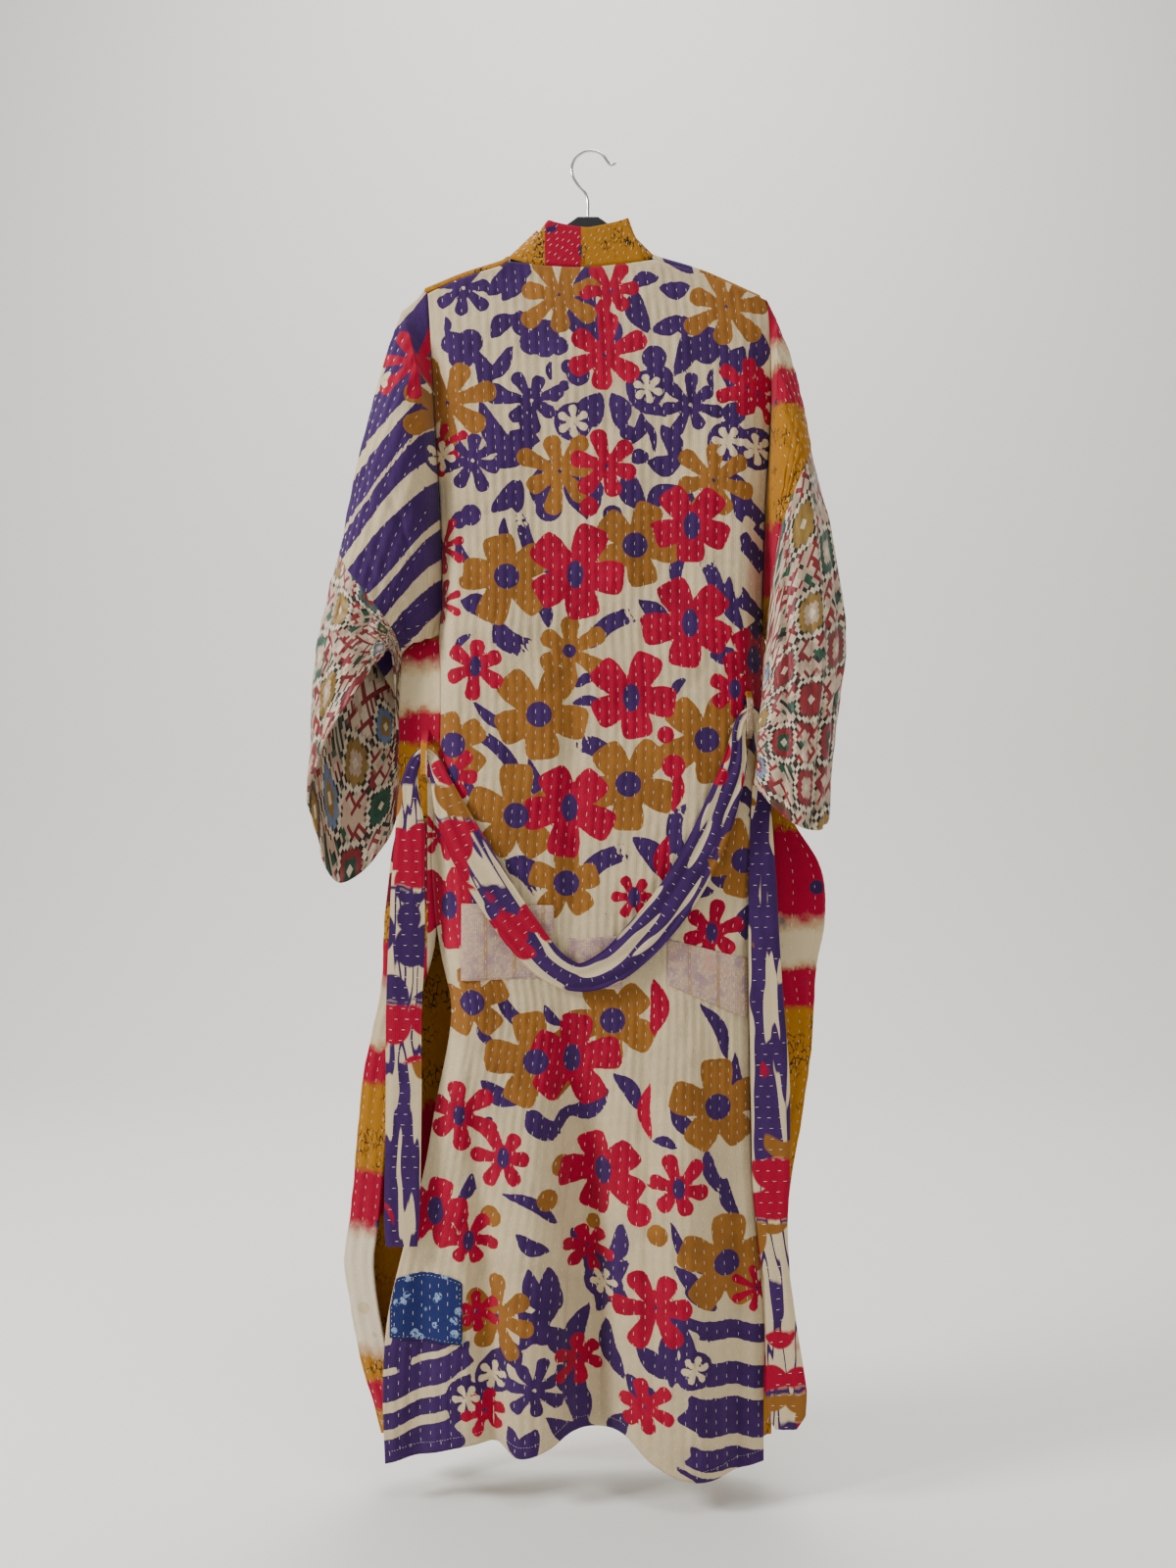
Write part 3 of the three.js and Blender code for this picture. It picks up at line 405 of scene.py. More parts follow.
def frontGrid(side, wrapRows, rows, columns):
    # Points of a front: the shoulder's wrap first, then even rows down to the hem
    share = np.linspace(0, 1, columns)[None, :]
    edgeX = backTopLine[0 if side == "left" else -1, 0]
    openX = body["neckLeftX" if side == "left" else "neckRightX"]
    x = mix(edgeX, openX, share)
    wrap = np.linspace(0, 4, wrapRows, endpoint=False)[:, None]
    steps = np.arange(5)
    drop, depth = (through(steps, shoulderWrap[:, k], wrap) for k in (0, 1))
    top = np.stack([x + 0 * wrap, depth + 0 * x, shoulderTopZ(x) - drop], -1)
    row = np.linspace(0, lastRow, rows)[:, None]
    z = rowHeight(shoulderTopZ(x) - body["frontTopDrop"], body["frontHemZ"], row)
    return np.concatenate([top, frontPoint(side, z, share + 0 * z)])


# Sleeve lines: six lines down each sleeve at the cap, upper arm, elbow, join, lower and cuff
sleeveLines = {
    "left": np.array([
        [[-217, 0, -186], [-234, 2, -232], [-262, 4, -330], [-291, 2, -469], [-319, 0, -600],
         [-326, 0, -768]],
        [[-196, -34, -262], [-216, -44, -300], [-246, -46, -385], [-274, -44, -494],
         [-295, -44, -580], [-308, -40, -702]],
        [[-182, -34, -440], [-190, -44, -455], [-210, -48, -490], [-232, -44, -548],
         [-238, -42, -570], [-240, -38, -600]],
        [[-182, -2, -567], [-192, -4, -570], [-206, -8, -573], [-220, -12, -576],
         [-226, -12, -580], [-229, -12, -584]],
        [[-184, 32, -440], [-196, 38, -470], [-212, 42, -540], [-228, 44, -630],
         [-231, 40, -710], [-233, 34, -797]],
        [[-196, 32, -262], [-214, 38, -310], [-240, 42, -420], [-270, 44, -560],
         [-290, 44, -700], [-298, 40, -856]]], float),
    "right": np.array([
        [[219, -1, -194], [241, -4, -258], [259, -8, -352], [297, -18, -552],
         [284, -28, -680], [274, -32, -775]],
        [[216, -36, -260], [232, -48, -310], [248, -54, -372], [272, -64, -570],
         [262, -74, -690], [256, -72, -790]],
        [[213, -34, -440], [216, -48, -440], [218, -56, -450], [224, -72, -590],
         [222, -82, -690], [222, -81, -778]],
        [[208, -3, -568], [207, -14, -574], [204, -28, -590], [198, -50, -640],
         [191, -60, -690], [187, -59, -737]],
        [[214, 26, -440], [220, 26, -460], [226, 18, -500], [228, -14, -620],
         [220, -38, -690], [216, -40, -752]],
        [[214, 30, -260], [232, 32, -320], [248, 28, -400], [270, 10, -580],
         [262, -8, -690], [254, -12, -776]]], float),
}
joinStation = {"left": 3, "right": 2}
lastStation = 5


def armholeRing(side, turn):
    # Armhole: down the back's edge for turn 0 to 0.5, up the front's edge and over the shoulder
    near = np.minimum(turn * 2, 1) * body["armRows"]
    line = backTopLine[0 if side == "left" else -1]
    nearZ = rowHeight(line[1], -1500, near)
    nearPoint = np.stack([backValue(side + "X", nearZ), backValue(side + "Y", nearZ), nearZ], -1)
    far = 14 * (1 - np.clip(turn * 2 - 1, 0, 1))
    farZ = rowHeight(shoulderTopZ(line[0]) - body["frontTopDrop"], -1500, np.maximum(far - 4, 0))
    edgeX, edgeY = frontEdge(side, np.maximum(farZ, body["underarmZ"] + 1e-6))
    steps = np.arange(5)
    drop, depth = (through(steps, shoulderWrap[:, k], np.minimum(far, 4)) for k in (0, 1))
    wrapped = (far < 4)[:, None]
    farPoint = np.where(wrapped, np.stack([line[0] + 0 * far, depth, shoulderTopZ(line[0]) - drop],
                                          -1), np.stack([edgeX, edgeY, farZ], -1))
    ring = np.where((turn <= 0.5)[:, None], nearPoint, farPoint)
    return ring + np.array([signOf[side] * body["seamGap"], 0, 0])


def sleeveRings(side, stations, turn):
    # Rings of a sleeve: closed curves through the six lines at each station
    corners = path(sleeveLines[side], np.asarray(stations) / lastStation)
    return path(np.swapaxes(corners, 0, 1), turn, closed=True)


print("surfaces ready")

# The printed cottons' motifs, charted one by one
# Places are x and y in the photograph's pixels, and lengths there are pixels too
photograph = {"pixel": 1.12, "seatX": 600, "seatY": 141}
petalKinds = {  # petals, half width, width at the base, tip's power, how much lengths vary
    "daisy": (7, 0.225, 0.3, 2.2, 0.12), "narrow": (7, 0.17, 0.3, 2.0, 0.14),
    "fat": (6, 0.255, 0.4, 2.3, 0.12), "broad": (5, 0.36, 0.55, 4.5, 0.08),
    "small": (6, 0.27, 0.1, 2.0, 0.05),
}
flowers = {  # colour, kind and radius of the centre: x, y and radius of each flower
    ("ochre", "daisy", 2): [(570, 295, 45), (743, 307, 46), (455, 408, 50), (571, 480, 43),
                            (728, 490, 42), (507, 1341, 42)],
    ("crimson", "narrow", 2): [(446, 452, 30), (450, 556, 28), (447, 612, 26), (776, 398, 30),
                               (448, 852, 26), (772, 1312, 28)],
    ("crimson", "fat", 2): [(624, 290, 31), (617, 359, 43), (619, 475, 36), (763, 392, 31),
                            (667, 1328, 42), (657, 1430, 30), (600, 1277, 26), (495, 1437, 24),
                            (592, 1390, 26), (488, 1338, 22)],
    ("purple", "daisy", 2): [(471, 287, 32), (542, 407, 32), (705, 411, 32), (482, 469, 33),
                             (546, 1410, 31)],
    ("white", "small", 1): [(661, 394, 15), (585, 429, 16), (743, 449, 16), (773, 455, 16),
                            (450, 461, 15), (616, 1312, 14), (707, 1387, 14), (477, 1424, 14),
                            (503, 1402, 14), (383, 382, 14)],
    ("ochre", "broad", 13): [(517, 588, 46), (648, 556, 42), (550, 729, 48), (721, 755, 46),
                             (641, 800, 46), (527, 832, 48), (462, 760, 36), (578, 901, 36),
                             (759, 878, 40), (482, 1022, 35), (547, 1082, 48), (625, 1040, 45),
                             (732, 1127, 46), (741, 1285, 48)],
    ("ochre", "fat", 7): [(581, 664, 38)],
    ("crimson", "broad", 11): [(587, 586, 48), (706, 536, 40), (771, 672, 34), (392, 1240, 30),
                               (704, 636, 46), (644, 712, 44), (581, 824, 46), (458, 924, 42),
                               (584, 1080, 46), (616, 1195, 42), (444, 1236, 36)],
    ("crimson", "fat", 8): [(485, 680, 32), (750, 703, 32), (462, 790, 30), (487, 914, 25),
                            (647, 915, 22), (726, 951, 32), (514, 1179, 31), (691, 1206, 33),
                            (469, 1137, 38), (479, 1265, 28)],
}
leaves = {  # from x, y to x, y and width; a ragged one frays at its far end
    "smooth": [
        (540, 270, 499, 292, 16), (540, 265, 507, 258, 14), (524, 317, 502, 338, 14),
        (529, 312, 529, 336, 15), (645, 285, 671, 276, 12), (648, 290, 660, 332, 16),
        (612, 400, 607, 432, 16), (625, 400, 634, 434, 16), (655, 420, 646, 450, 9),
        (655, 425, 668, 458, 6), (705, 285, 676, 288, 14), (708, 270, 680, 252, 14),
        (695, 318, 669, 333, 14), (700, 318, 699, 336, 15), (492, 400, 487, 358, 13),
        (492, 385, 520, 353, 12), (495, 405, 518, 400, 16), (490, 410, 532, 466, 16),
        (532, 470, 503, 472, 14), (532, 468, 534, 420, 12), (525, 490, 504, 520, 14),
        (530, 490, 528, 520, 14), (690, 470, 677, 435, 14), (695, 470, 664, 472, 16),
        (690, 495, 662, 518, 14), (697, 495, 694, 522, 15), (645, 470, 661, 463, 12),
        (640, 480, 655, 518, 18), (562, 365, 562, 385, 5), (728, 372, 728, 395, 5),
        (453, 317, 453, 335, 6), (514, 528, 523, 562, 8), (466, 551, 480, 576, 8),
        (471, 613, 497, 625, 16), (653, 613, 680, 646, 14), (749, 664, 726, 669, 13),
        (465, 664, 479, 648, 6), (484, 717, 530, 743, 9), (616, 720, 586, 717, 8),
        (700, 692, 686, 711, 7), (540, 776, 573, 827, 12), (476, 791, 489, 817, 8),
        (443, 853, 463, 855, 16), (647, 855, 675, 891, 16), (726, 876, 749, 906, 14),
        (703, 914, 726, 909, 10), (764, 924, 762, 957, 14), (504, 1000, 552, 1055, 10),
        (490, 1040, 503, 1065, 8), (556, 1025, 572, 1045, 8), (492, 1102, 530, 1122, 14),
        (627, 1095, 650, 1127, 12), (684, 1120, 713, 1155, 12), (488, 1148, 502, 1140, 9),
        (468, 1225, 482, 1200, 10), (515, 1216, 567, 1245, 9), (528, 1255, 558, 1272, 12),
        (665, 1160, 688, 1165, 8), (684, 1242, 722, 1293, 9), (687, 1285, 712, 1322, 12),
        (715, 1025, 740, 1075, 10), (750, 1075, 766, 1130, 10), (530, 1330, 572, 1362, 16),
        (572, 1328, 534, 1366, 16), (640, 1285, 612, 1340, 16), (690, 1340, 684, 1400, 14),
        (560, 1440, 610, 1470, 14), (620, 1350, 634, 1400, 14), (520, 1450, 540, 1480, 12),
        (590, 300, 600, 340, 20), (600, 262, 606, 330, 18), (760, 350, 745, 390, 18),
        (775, 330, 770, 372, 16), (512, 300, 530, 262, 14), (560, 470, 556, 520, 18),
        (610, 400, 590, 440, 14), (640, 385, 676, 420, 14), (590, 470, 598, 524, 18),
        (745, 480, 756, 528, 16), (690, 380, 700, 340, 14), (520, 440, 548, 448, 14),
        (600, 1270, 640, 1330, 20), (600, 1340, 585, 1400, 16), (650, 1370, 690, 1392, 16),
        (520, 1370, 500, 1420, 16), (560, 1290, 572, 1330, 16), (575, 1410, 596, 1462, 16),
        (540, 1290, 556, 1330, 14), (700, 1400, 680, 1330, 12), (640, 1440, 628, 1480, 14),
        (604, 1300, 588, 1262, 14), (622, 1290, 634, 1250, 12), (560, 1350, 590, 1376, 16),
        (530, 1390, 512, 1362, 14), (570, 1390, 596, 1420, 14), (548, 1450, 540, 1486, 16),
        (480, 1400, 462, 1440, 14), (470, 1330, 452, 1370, 12), (690, 1380, 716, 1402, 18),
        (730, 1330, 700, 1310, 14), (640, 1400, 668, 1420, 14), (430, 1340, 410, 1400, 18),
        (740, 1200, 752, 1240, 10), (590, 1130, 566, 1158, 10), (440, 1010, 462, 1044, 12),
        (620, 1110, 604, 1140, 12), (530, 930, 560, 950, 12), (700, 560, 690, 600, 10),
        (610, 690, 588, 700, 8), (560, 640, 548, 612, 10), (744, 590, 756, 640, 12),
    ],
    "ragged": [
        (569, 588, 532, 531, 14), (728, 620, 722, 577, 16), (504, 638, 535, 661, 22),
        (601, 661, 642, 628, 18), (532, 809, 491, 750, 14), (624, 778, 593, 758, 20),
        (695, 875, 692, 824, 16), (517, 878, 550, 903, 24), (593, 901, 634, 870, 20),
        (538, 1132, 567, 1155, 22), (584, 1140, 613, 1118, 20), (720, 1170, 737, 1210, 14),
    ],
}
blobs = {  # x, y and radius
    "purple": [(542, 346, 13), (556, 350, 12), (570, 350, 10), (556, 335, 14), (707, 352, 13),
               (722, 357, 12), (735, 352, 10), (722, 342, 14), (460, 345, 12), (478, 345, 14),
               (470, 360, 14), (668, 362, 13), (673, 385, 15), (660, 400, 14), (590, 380, 12),
               (580, 372, 8), (575, 392, 6), (566, 404, 5), (620, 335, 16), (468, 530, 9),
               (480, 525, 11), (600, 510, 14), (560, 518, 14), (625, 525, 10), (661, 394, 19),
               (585, 429, 20), (743, 449, 21), (773, 455, 22), (450, 461, 20), (680, 866, 7),
               (680, 884, 6), (616, 1312, 20), (707, 1387, 19), (477, 1424, 18), (503, 1402, 18),
               (383, 382, 20), (600, 500, 16), (640, 440, 8), (750, 420, 12), (720, 520, 10)],
    "crimson": [(679, 750, 9), (687, 782, 12), (651, 1236, 12), (601, 517, 10)],
    "ochre": [(559, 1222, 11), (606, 1252, 8), (669, 1255, 11), (501, 1240, 11), (574, 1190, 11)],
}
tails = [(687, 784, 687, 824, 9), (680, 855, 680, 900, 12), (667, 1000, 667, 1050, 14),
         (662, 1105, 662, 1156, 9)]  # crimson tapered strips: from x, y to x, y and width
# Diagonal bands on the sleeves: how far along the sleeve's slope each colour ends
bandStops = (249.6, 262.3, 289, 294.2, 315, 332.9, 368.5, 376.7, 399.4, 412.4, 434.7, 470)
hemStripes = {  # x limits, then heights in pixels where purple starts and ends, and their slope
    "left": (380, 476, [(1376, 1400), (1407, 1434), (1445, 1462), (1472, 1510)], -0.42),
    "right": (700, 796, [(1333, 1352), (1375, 1398), (1410, 1448), (1460, 1482), (1488, 1510)], 0.14),
    "side": (760, 790, [(500, 528), (540, 566), (600, 640), (700, 760), (800, 830)], 0.7),
}
printReach = 14  # millimetres: a motif's field is kept within this of its edge


def fromPhotograph(x, y):
    # x and z in millimetres: pixels from the hook's seat times the size of a pixel
    return (x - photograph["seatX"]) * photograph["pixel"], (photograph["seatY"] - y) * photograph["pixel"]


def petalField(x, z, flower, kind):
    # Distance inside the nearest petal: its half width, less the power mean of how far a point is
    # past the tip's centre and aside from the petal's axis
    count, wide, base, power, vary = petalKinds[kind]
    px, py, size = flower
    centerX, centerZ = fromPhotograph(px, py)
    radius = size * photograph["pixel"]
    step = 2 * np.pi / count
    turn = 0.37 * px + 0.71 * py
    away, angle = np.hypot(x - centerX, z - centerZ), np.arctan2(z - centerZ, x - centerX) - turn
    petal = np.round(angle / step)
    angle = angle - petal * step
    length = radius * (1.1 - vary * (1 + np.sin(petal * 2.3 * count + px)))
    along, aside = away * np.cos(angle), np.abs(away * np.sin(angle))
    half = wide * radius
    middle = length - half
    width = half * mix(base, 1, np.clip(along / middle, 0, 1))
    past = np.maximum(along - middle, 0)
    return width - (past**power + aside**power) ** (1 / power)


def leafField(x, z, leaf, ragged):
    # Distance inside a leaf: wide past its middle, pointed at both ends, or frayed at the far one
    x0, z0 = fromPhotograph(leaf[0], leaf[1])
    x1, z1 = fromPhotograph(leaf[2], leaf[3])
    length = np.hypot(x1 - x0, z1 - z0)
    wayX, wayZ = (x1 - x0) / length, (z1 - z0) / length
    along = ((x - x0) * wayX + (z - z0) * wayZ) / length
    aside = (x - x0) * wayZ - (z - z0) * wayX
    bend = 0.12 * length * np.sin(np.pi * np.clip(along, 0, 1))
    aside = np.abs(aside + (bend if int(leaf[0]) % 2 else -bend))
    half = leaf[4] * photograph["pixel"] / 2
    if ragged:
        fray = 0.12 * np.sin(aside * 1.9 + leaf[0]) + 0.08 * np.sin(aside * 4.1)
        profile = np.clip(along * 4, 0, 1) ** 0.5
        return np.minimum(half * profile - aside, (1 + fray - along) * length * 0.8)
    profile = np.clip(1 - np.abs(1.7 * along - 0.9) ** 2.2, -1, 1)
    return half * 1.4 * profile - aside


def discField(x, z, disc):
    # Distance inside a disc: its radius less the distance from its centre
    centerX, centerZ = fromPhotograph(disc[0], disc[1])
    return disc[2] * photograph["pixel"] - np.hypot(x - centerX, z - centerZ)


def sleeveBands(x, z, outer):
    # Diagonal bands on a sleeve: purple between every other pair of stops along the slope
    slope = np.radians(48)
    along = (x - outer) * np.sin(slope) + (-66 - z) * np.cos(slope)
    along = along + 2.5 * np.sin(along / 17 + x / 21)
    field = np.full(np.shape(x), -float(printReach))
    for low, high in zip((180,) + bandStops[1::2], bandStops[::2]):
        field = np.maximum(field, np.minimum(along - low, high - along))
    return field


def cottonPrint(grid, sleeve=None):
    # Signed fields of each printed colour, positive inside a motif, at a grid's points
    x, z = grid[..., 0], grid[..., 2]
    fields = {name: np.full(x.shape, -float(printReach)) for name in
              ("purple", "ochre", "crimson", "centre", "white")}

    def paint(name, field):
        fields[name] = np.maximum(fields[name], np.clip(field, -printReach, printReach))

    for (colour, kind, middle), places in flowers.items():
        for flower in places:
            paint(colour, petalField(x, z, flower, kind))
            if colour == "white" or middle < 3:
                dot = discField(x, z, (flower[0], flower[1], 2.2))
                paint("white" if colour == "purple" else "centre", dot)
            else:
                tall = 1.3 if colour == "crimson" else 1.0
                centerX, centerZ = fromPhotograph(flower[0], flower[1])
                away = np.hypot((x - centerX) * tall, (z - centerZ) / tall)
                paint("centre", middle * photograph["pixel"] - away)
    for kind, places in leaves.items():
        for leaf in places:
            paint("purple", leafField(x, z, leaf, kind == "ragged"))
    for colour, places in blobs.items():
        for disc in places:
            paint(colour, discField(x, z, disc))
    for tail in tails:
        paint("crimson", leafField(x, z, tail, False))
    for fromX, toX, stripes, slope in hemStripes.values():
        lowX, highX = (fromPhotograph(edge, 0)[0] for edge in (fromX, toX))
        for top, low in stripes:
            topZ, lowZ = (fromPhotograph(0, edge)[1] for edge in (top, low))
            drop = slope * (x - lowX) + 6 * np.sin((x - lowX) / 34) + 2 * np.sin((x - lowX) / 11)
            stripe = np.minimum(topZ - (z + drop), (z + drop) - lowZ)
            sway = 9 * np.sin(z / 9 + lowX) + 5 * np.sin(z / 4.3)
            paint("purple", np.minimum(stripe, np.minimum(x - lowX + sway, highX - x + sway)))
    if sleeve == "left":
        cover = smooth(-z, 290, 300)
        fields["crimson"] = np.where(cover > 0.5, -printReach, fields["crimson"])
        fields["purple"] = np.maximum(fields["purple"], sleeveBands(x, z, -336))
        paint("crimson", petalField(x, z, (423, 369, 46), "narrow"))
    return fields


print("print fields ready")


# Materials

palette = {  # sRGB colours of the cloths
    "cream": (206, 186, 148), "purple": (54, 29, 78), "ochre": (136, 88, 34),
    "crimson": (156, 3, 44), "gold": (160, 106, 20), "stitch": (226, 216, 196),
    "black": (24, 18, 16), "ground": (186, 158, 134), "bright": (212, 196, 168),
    "red": (128, 24, 32), "green": (28, 72, 50), "slate": (104, 122, 150),
    "mustard": (142, 110, 46), "pale": (184, 146, 130), "lilac": (138, 112, 128),
    "orange": (210, 96, 40), "blue": (34, 44, 98), "wine": (96, 10, 30),
}


def colour(name, lighter=1.0):
    # Linear light from sRGB: ((c + 0.055) / 1.055) ^ 2.4
    linear = [((c / 255 + 0.055) / 1.055) ** 2.4 * lighter for c in palette[name]]
    return (*linear, 1.0)


class Number:
    # A node's output; + - * / and their reflected forms add Math nodes
    def __init__(self, finish, output):
        self.finish, self.output = finish, output

    def math(self, operation, *values, clamped=False):
        settings = {"operation": operation, "use_clamp": clamped}
        return self.finish.node("ShaderNodeMath", settings, dict(enumerate(values)))

    def __add__(self, other):
        return self.math("ADD", self, other)

    def __radd__(self, other):
        return self.math("ADD", other, self)

    def __sub__(self, other):
        return self.math("SUBTRACT", self, other)

    def __rsub__(self, other):
        return self.math("SUBTRACT", other, self)

    def __mul__(self, other):
        return self.math("MULTIPLY", self, other)

    def __rmul__(self, other):
        return self.math("MULTIPLY", other, self)

    def __truediv__(self, other):
        return self.math("DIVIDE", self, other)

    def ramp(self, low, high):
        # 0 at low, 1 at high, straight between
        slope = 1 / (high - low)
        return self.math("MULTIPLY_ADD", self, slope, -low * slope, clamped=True)


class Finish:
    # One material: its nodes come from node(), and end() joins them to the shader
    def __init__(self, name, roughness, sheen=0.0):
        self.material = bpy.data.materials.new(name)
        self.material.use_nodes = True
        self.tree = self.material.node_tree
        self.shader = self.tree.nodes["Principled BSDF"]
        self.shader.inputs["Roughness"].default_value = roughness
        self.shader.inputs["Sheen Weight"].default_value = sheen
        self.shader.inputs["Sheen Roughness"].default_value = 0.5
        self.shader.inputs["Specular IOR Level"].default_value = 0.15

    def node(self, kind, settings=None, sockets=None, output=0):
        made = self.tree.nodes.new(kind)
        for key, value in (settings or {}).items():
            setattr(made, key, value)
        for key, value in (sockets or {}).items():
            if isinstance(value, Number):
                self.tree.links.new(value.output, made.inputs[key])
            else:
                made.inputs[key].default_value = value
        return Number(self, made.outputs[output])

    def place(self):  # metres in the piece's own space
        return self.node("ShaderNodeTexCoord", output="Object")

    def along(self):  # metres across and down the cloth
        return self.node("ShaderNodeUVMap", {"uv_map": "cloth"})

    def axis(self, vector, which):
        return self.node("ShaderNodeSeparateXYZ", None, {"Vector": vector}, output=which)

    def scaled(self, vector, scale, turn=0.0):
        return self.node("ShaderNodeMapping", None, {"Vector": vector, "Scale": scale,
                                                     "Rotation": (0, 0, turn)})

    def noise(self, vector, scale, detail=2.0, roughness=0.5):
        return self.node("ShaderNodeTexNoise", None, {"Vector": vector, "Scale": scale,
                                                      "Detail": detail, "Roughness": roughness})

    def cells(self, vector, scale=1.0, **settings):  # distance to the nearest scattered point
        return self.node("ShaderNodeTexVoronoi", settings, {"Vector": vector, "Scale": scale})

    def wave(self, vector, direction, scale, distortion=0.0):
        return self.node("ShaderNodeTexWave", {"bands_direction": direction},
                         {"Vector": vector, "Scale": scale, "Distortion": distortion}, output=1)

    def field(self, name):  # a print's signed field, kept on the piece's points
        return self.node("ShaderNodeAttribute", {"attribute_name": name}, output="Fac")

    def blend(self, first, second, share):
        return self.node("ShaderNodeMix", {"data_type": "RGBA"}, {0: share, 6: first, 7: second},
                         output=2)

    def dyed(self, name, low, high, share):  # a palette colour from one lightness to another
        return self.blend(colour(name, low), colour(name, high), share)

    def shaded(self, base, light, strength):
        # Colour times 1 - strength to 1, by a number from 0 to 1
        tone = self.blend((1 - strength,) * 3 + (1,), (1, 1, 1, 1), light)
        return self.node("ShaderNodeMix", {"data_type": "RGBA", "blend_type": "MULTIPLY"},
                         {0: 1.0, 6: base, 7: tone}, output=2)

    def end(self, base, height=None, depth=0.0004):
        self.tree.links.new(base.output, self.shader.inputs["Base Color"])
        if height is not None:
            bump = self.node("ShaderNodeBump", None, {"Height": height, "Distance": depth,
                                                      "Strength": 1.0})
            self.tree.links.new(bump.output, self.shader.inputs["Normal"])
        return self.material


def weave(finish, size=900.0):
    # Thread relief: crossed waves on the cloth's own coordinates, broken up by noise
    along = finish.along()
    warp, weft = (finish.wave(along, direction, size / 6.28, 1.5) for direction in "XY")
    pucker = finish.noise(along, 110.0, 3.0, 0.6)
    return (warp + weft) * 0.12 + pucker * 1.2


def printOn(finish, ground):
    # Block print: each colour lies where its signed field passes an uneven edge
    place = finish.place()
    worn = finish.noise(place, 22.0, 4.0, 0.6)
    edge = (finish.noise(place, 240.0, 3.0, 0.6) - 0.5) * 2.2
    speckle = finish.noise(place, 620.0, 2.0, 0.7)
    faded = worn.ramp(0.35, 0.7)
    base = finish.dyed(ground, 1, 0.8, worn.ramp(0.4, 0.75))
    purple = finish.dyed("purple", 1, 1.35, faded)
    ochre = finish.dyed("ochre", 0.92, 1.25, faded)
    crimson = finish.dyed("crimson", 0.85, 1.25, faded)
    for key, paint in (("purple", purple), ("ochre", ochre), ("crimson", crimson),
                       ("centre", purple), ("white", colour(ground, 1.04))):
        base = finish.blend(base, paint, (finish.field(key) + edge).ramp(-0.35, 0.35))
    return finish.shaded(base, speckle.ramp(0.25, 0.6), 0.12)


def makePrinted(name, ground):
    # Cotton printed all over
    finish = Finish(name, 0.9, 0.08)
    return finish.end(printOn(finish, ground), weave(finish), 0.0008)


# Dyed bands of the joined cloths: from and to x, from and to z in millimetres, and colour
frontBands = {
    "left": [(-300, 0, -330, -262, "crimson"), (-300, 0, -600, -566, "crimson"),
             (-300, 0, -655, -600, "cream"),
             (-300, 0, -690, -655, "crimson"), (-300, 0, -880, -783, "wine"),
             (-300, 0, -972, -925, "crimson"), (-300, 0, -1045, -972, "cream"),
             (-300, 0, -1086, -1045, "crimson"), (-300, 0, -1258, -1188, "crimson"),
             (-300, 0, -1400, -1258, "bright"), (-300, 0, -1470, -1436, "crimson")],
    "right": [(0, 300, -900, -790, "crimson"), (0, 300, -952, -900, "cream"),
              (0, 300, -1000, -952, "crimson"), (0, 300, -1310, -1236, "crimson"),
              (0, 300, -1400, -1310, "cream"), (0, 300, -1450, -1400, "crimson")],
    "neck": [(-50, -8, -200, 60, "crimson"), (-300, -50, -320, -240, "crimson"),
             (40, 300, -420, -340, "crimson"), (-60, -40, -1000, -860, "cream"),
             (40, 60, -760, -640, "cream")],
    "sleeve": [(0, 400, -231, 0, "crimson"), (0, 400, -262, -231, "cream"),
               (0, 400, -304, -262, "crimson"), (0, 400, -520, -440, "crimson")],
}


def inside(x, z, limits, soft):
    # 1 between the limits in mm, 0 outside: a ramp at each side, fading over soft metres up and down
    fromX, toX, fromZ, toZ = (limit * millimetre for limit in limits)
    edge = 0.5 * millimetre
    return (z.ramp(fromZ - soft, fromZ + soft) * z.ramp(toZ + soft, toZ - soft)
            * x.ramp(fromX - edge, fromX + edge) * x.ramp(toX + edge, toX - edge))


def makeFern(name, bands, printed=()):
    # Gold cotton with fine black fern lines, under dyed bands whose ends fade and printed parts
    finish = Finish(name, 0.9, 0.08)
    place = finish.place()
    x, z = finish.axis(place, 0), finish.axis(place, 2)
    frond = finish.cells(finish.scaled(place, (150, 150, 95)), feature="DISTANCE_TO_EDGE")
    scratch = finish.noise(finish.scaled(place, (500, 500, 190), 0.6), 1.0, 3.0, 0.7)
    patch = finish.noise(place, 28.0, 2.0, 0.5)
    drift = (finish.noise(place, 60.0, 3.0, 0.6) - 0.5) * 0.03
    gold = finish.dyed("gold", 0.85, 1.25, patch)
    lines = frond.ramp(0.11, 0.05) * scratch.ramp(0.44, 0.52) * patch.ramp(0.46, 0.56)
    base = finish.blend(gold, colour("black"), lines)
    sprig = finish.cells(place, 24.0)
    for *limits, dye in bands:
        soft = 0.012 if dye in ("cream", "bright") else 0.004
        paint = finish.blend(colour(dye), colour("purple" if dye == "crimson" else "cream", 0.9),
                             sprig.ramp(0.24, 0.22) * patch.ramp(0.5, 0.52))
        base = finish.blend(base, paint, inside(x, z + drift, limits, soft))
    if printed:
        covered = sum((inside(x, z, limits, 0.0005) for limits in printed[1:]),
                      inside(x, z, printed[0], 0.0005))
        base = finish.blend(base, printOn(finish, "cream"), covered)
    return finish.end(base, weave(finish), 0.0008)


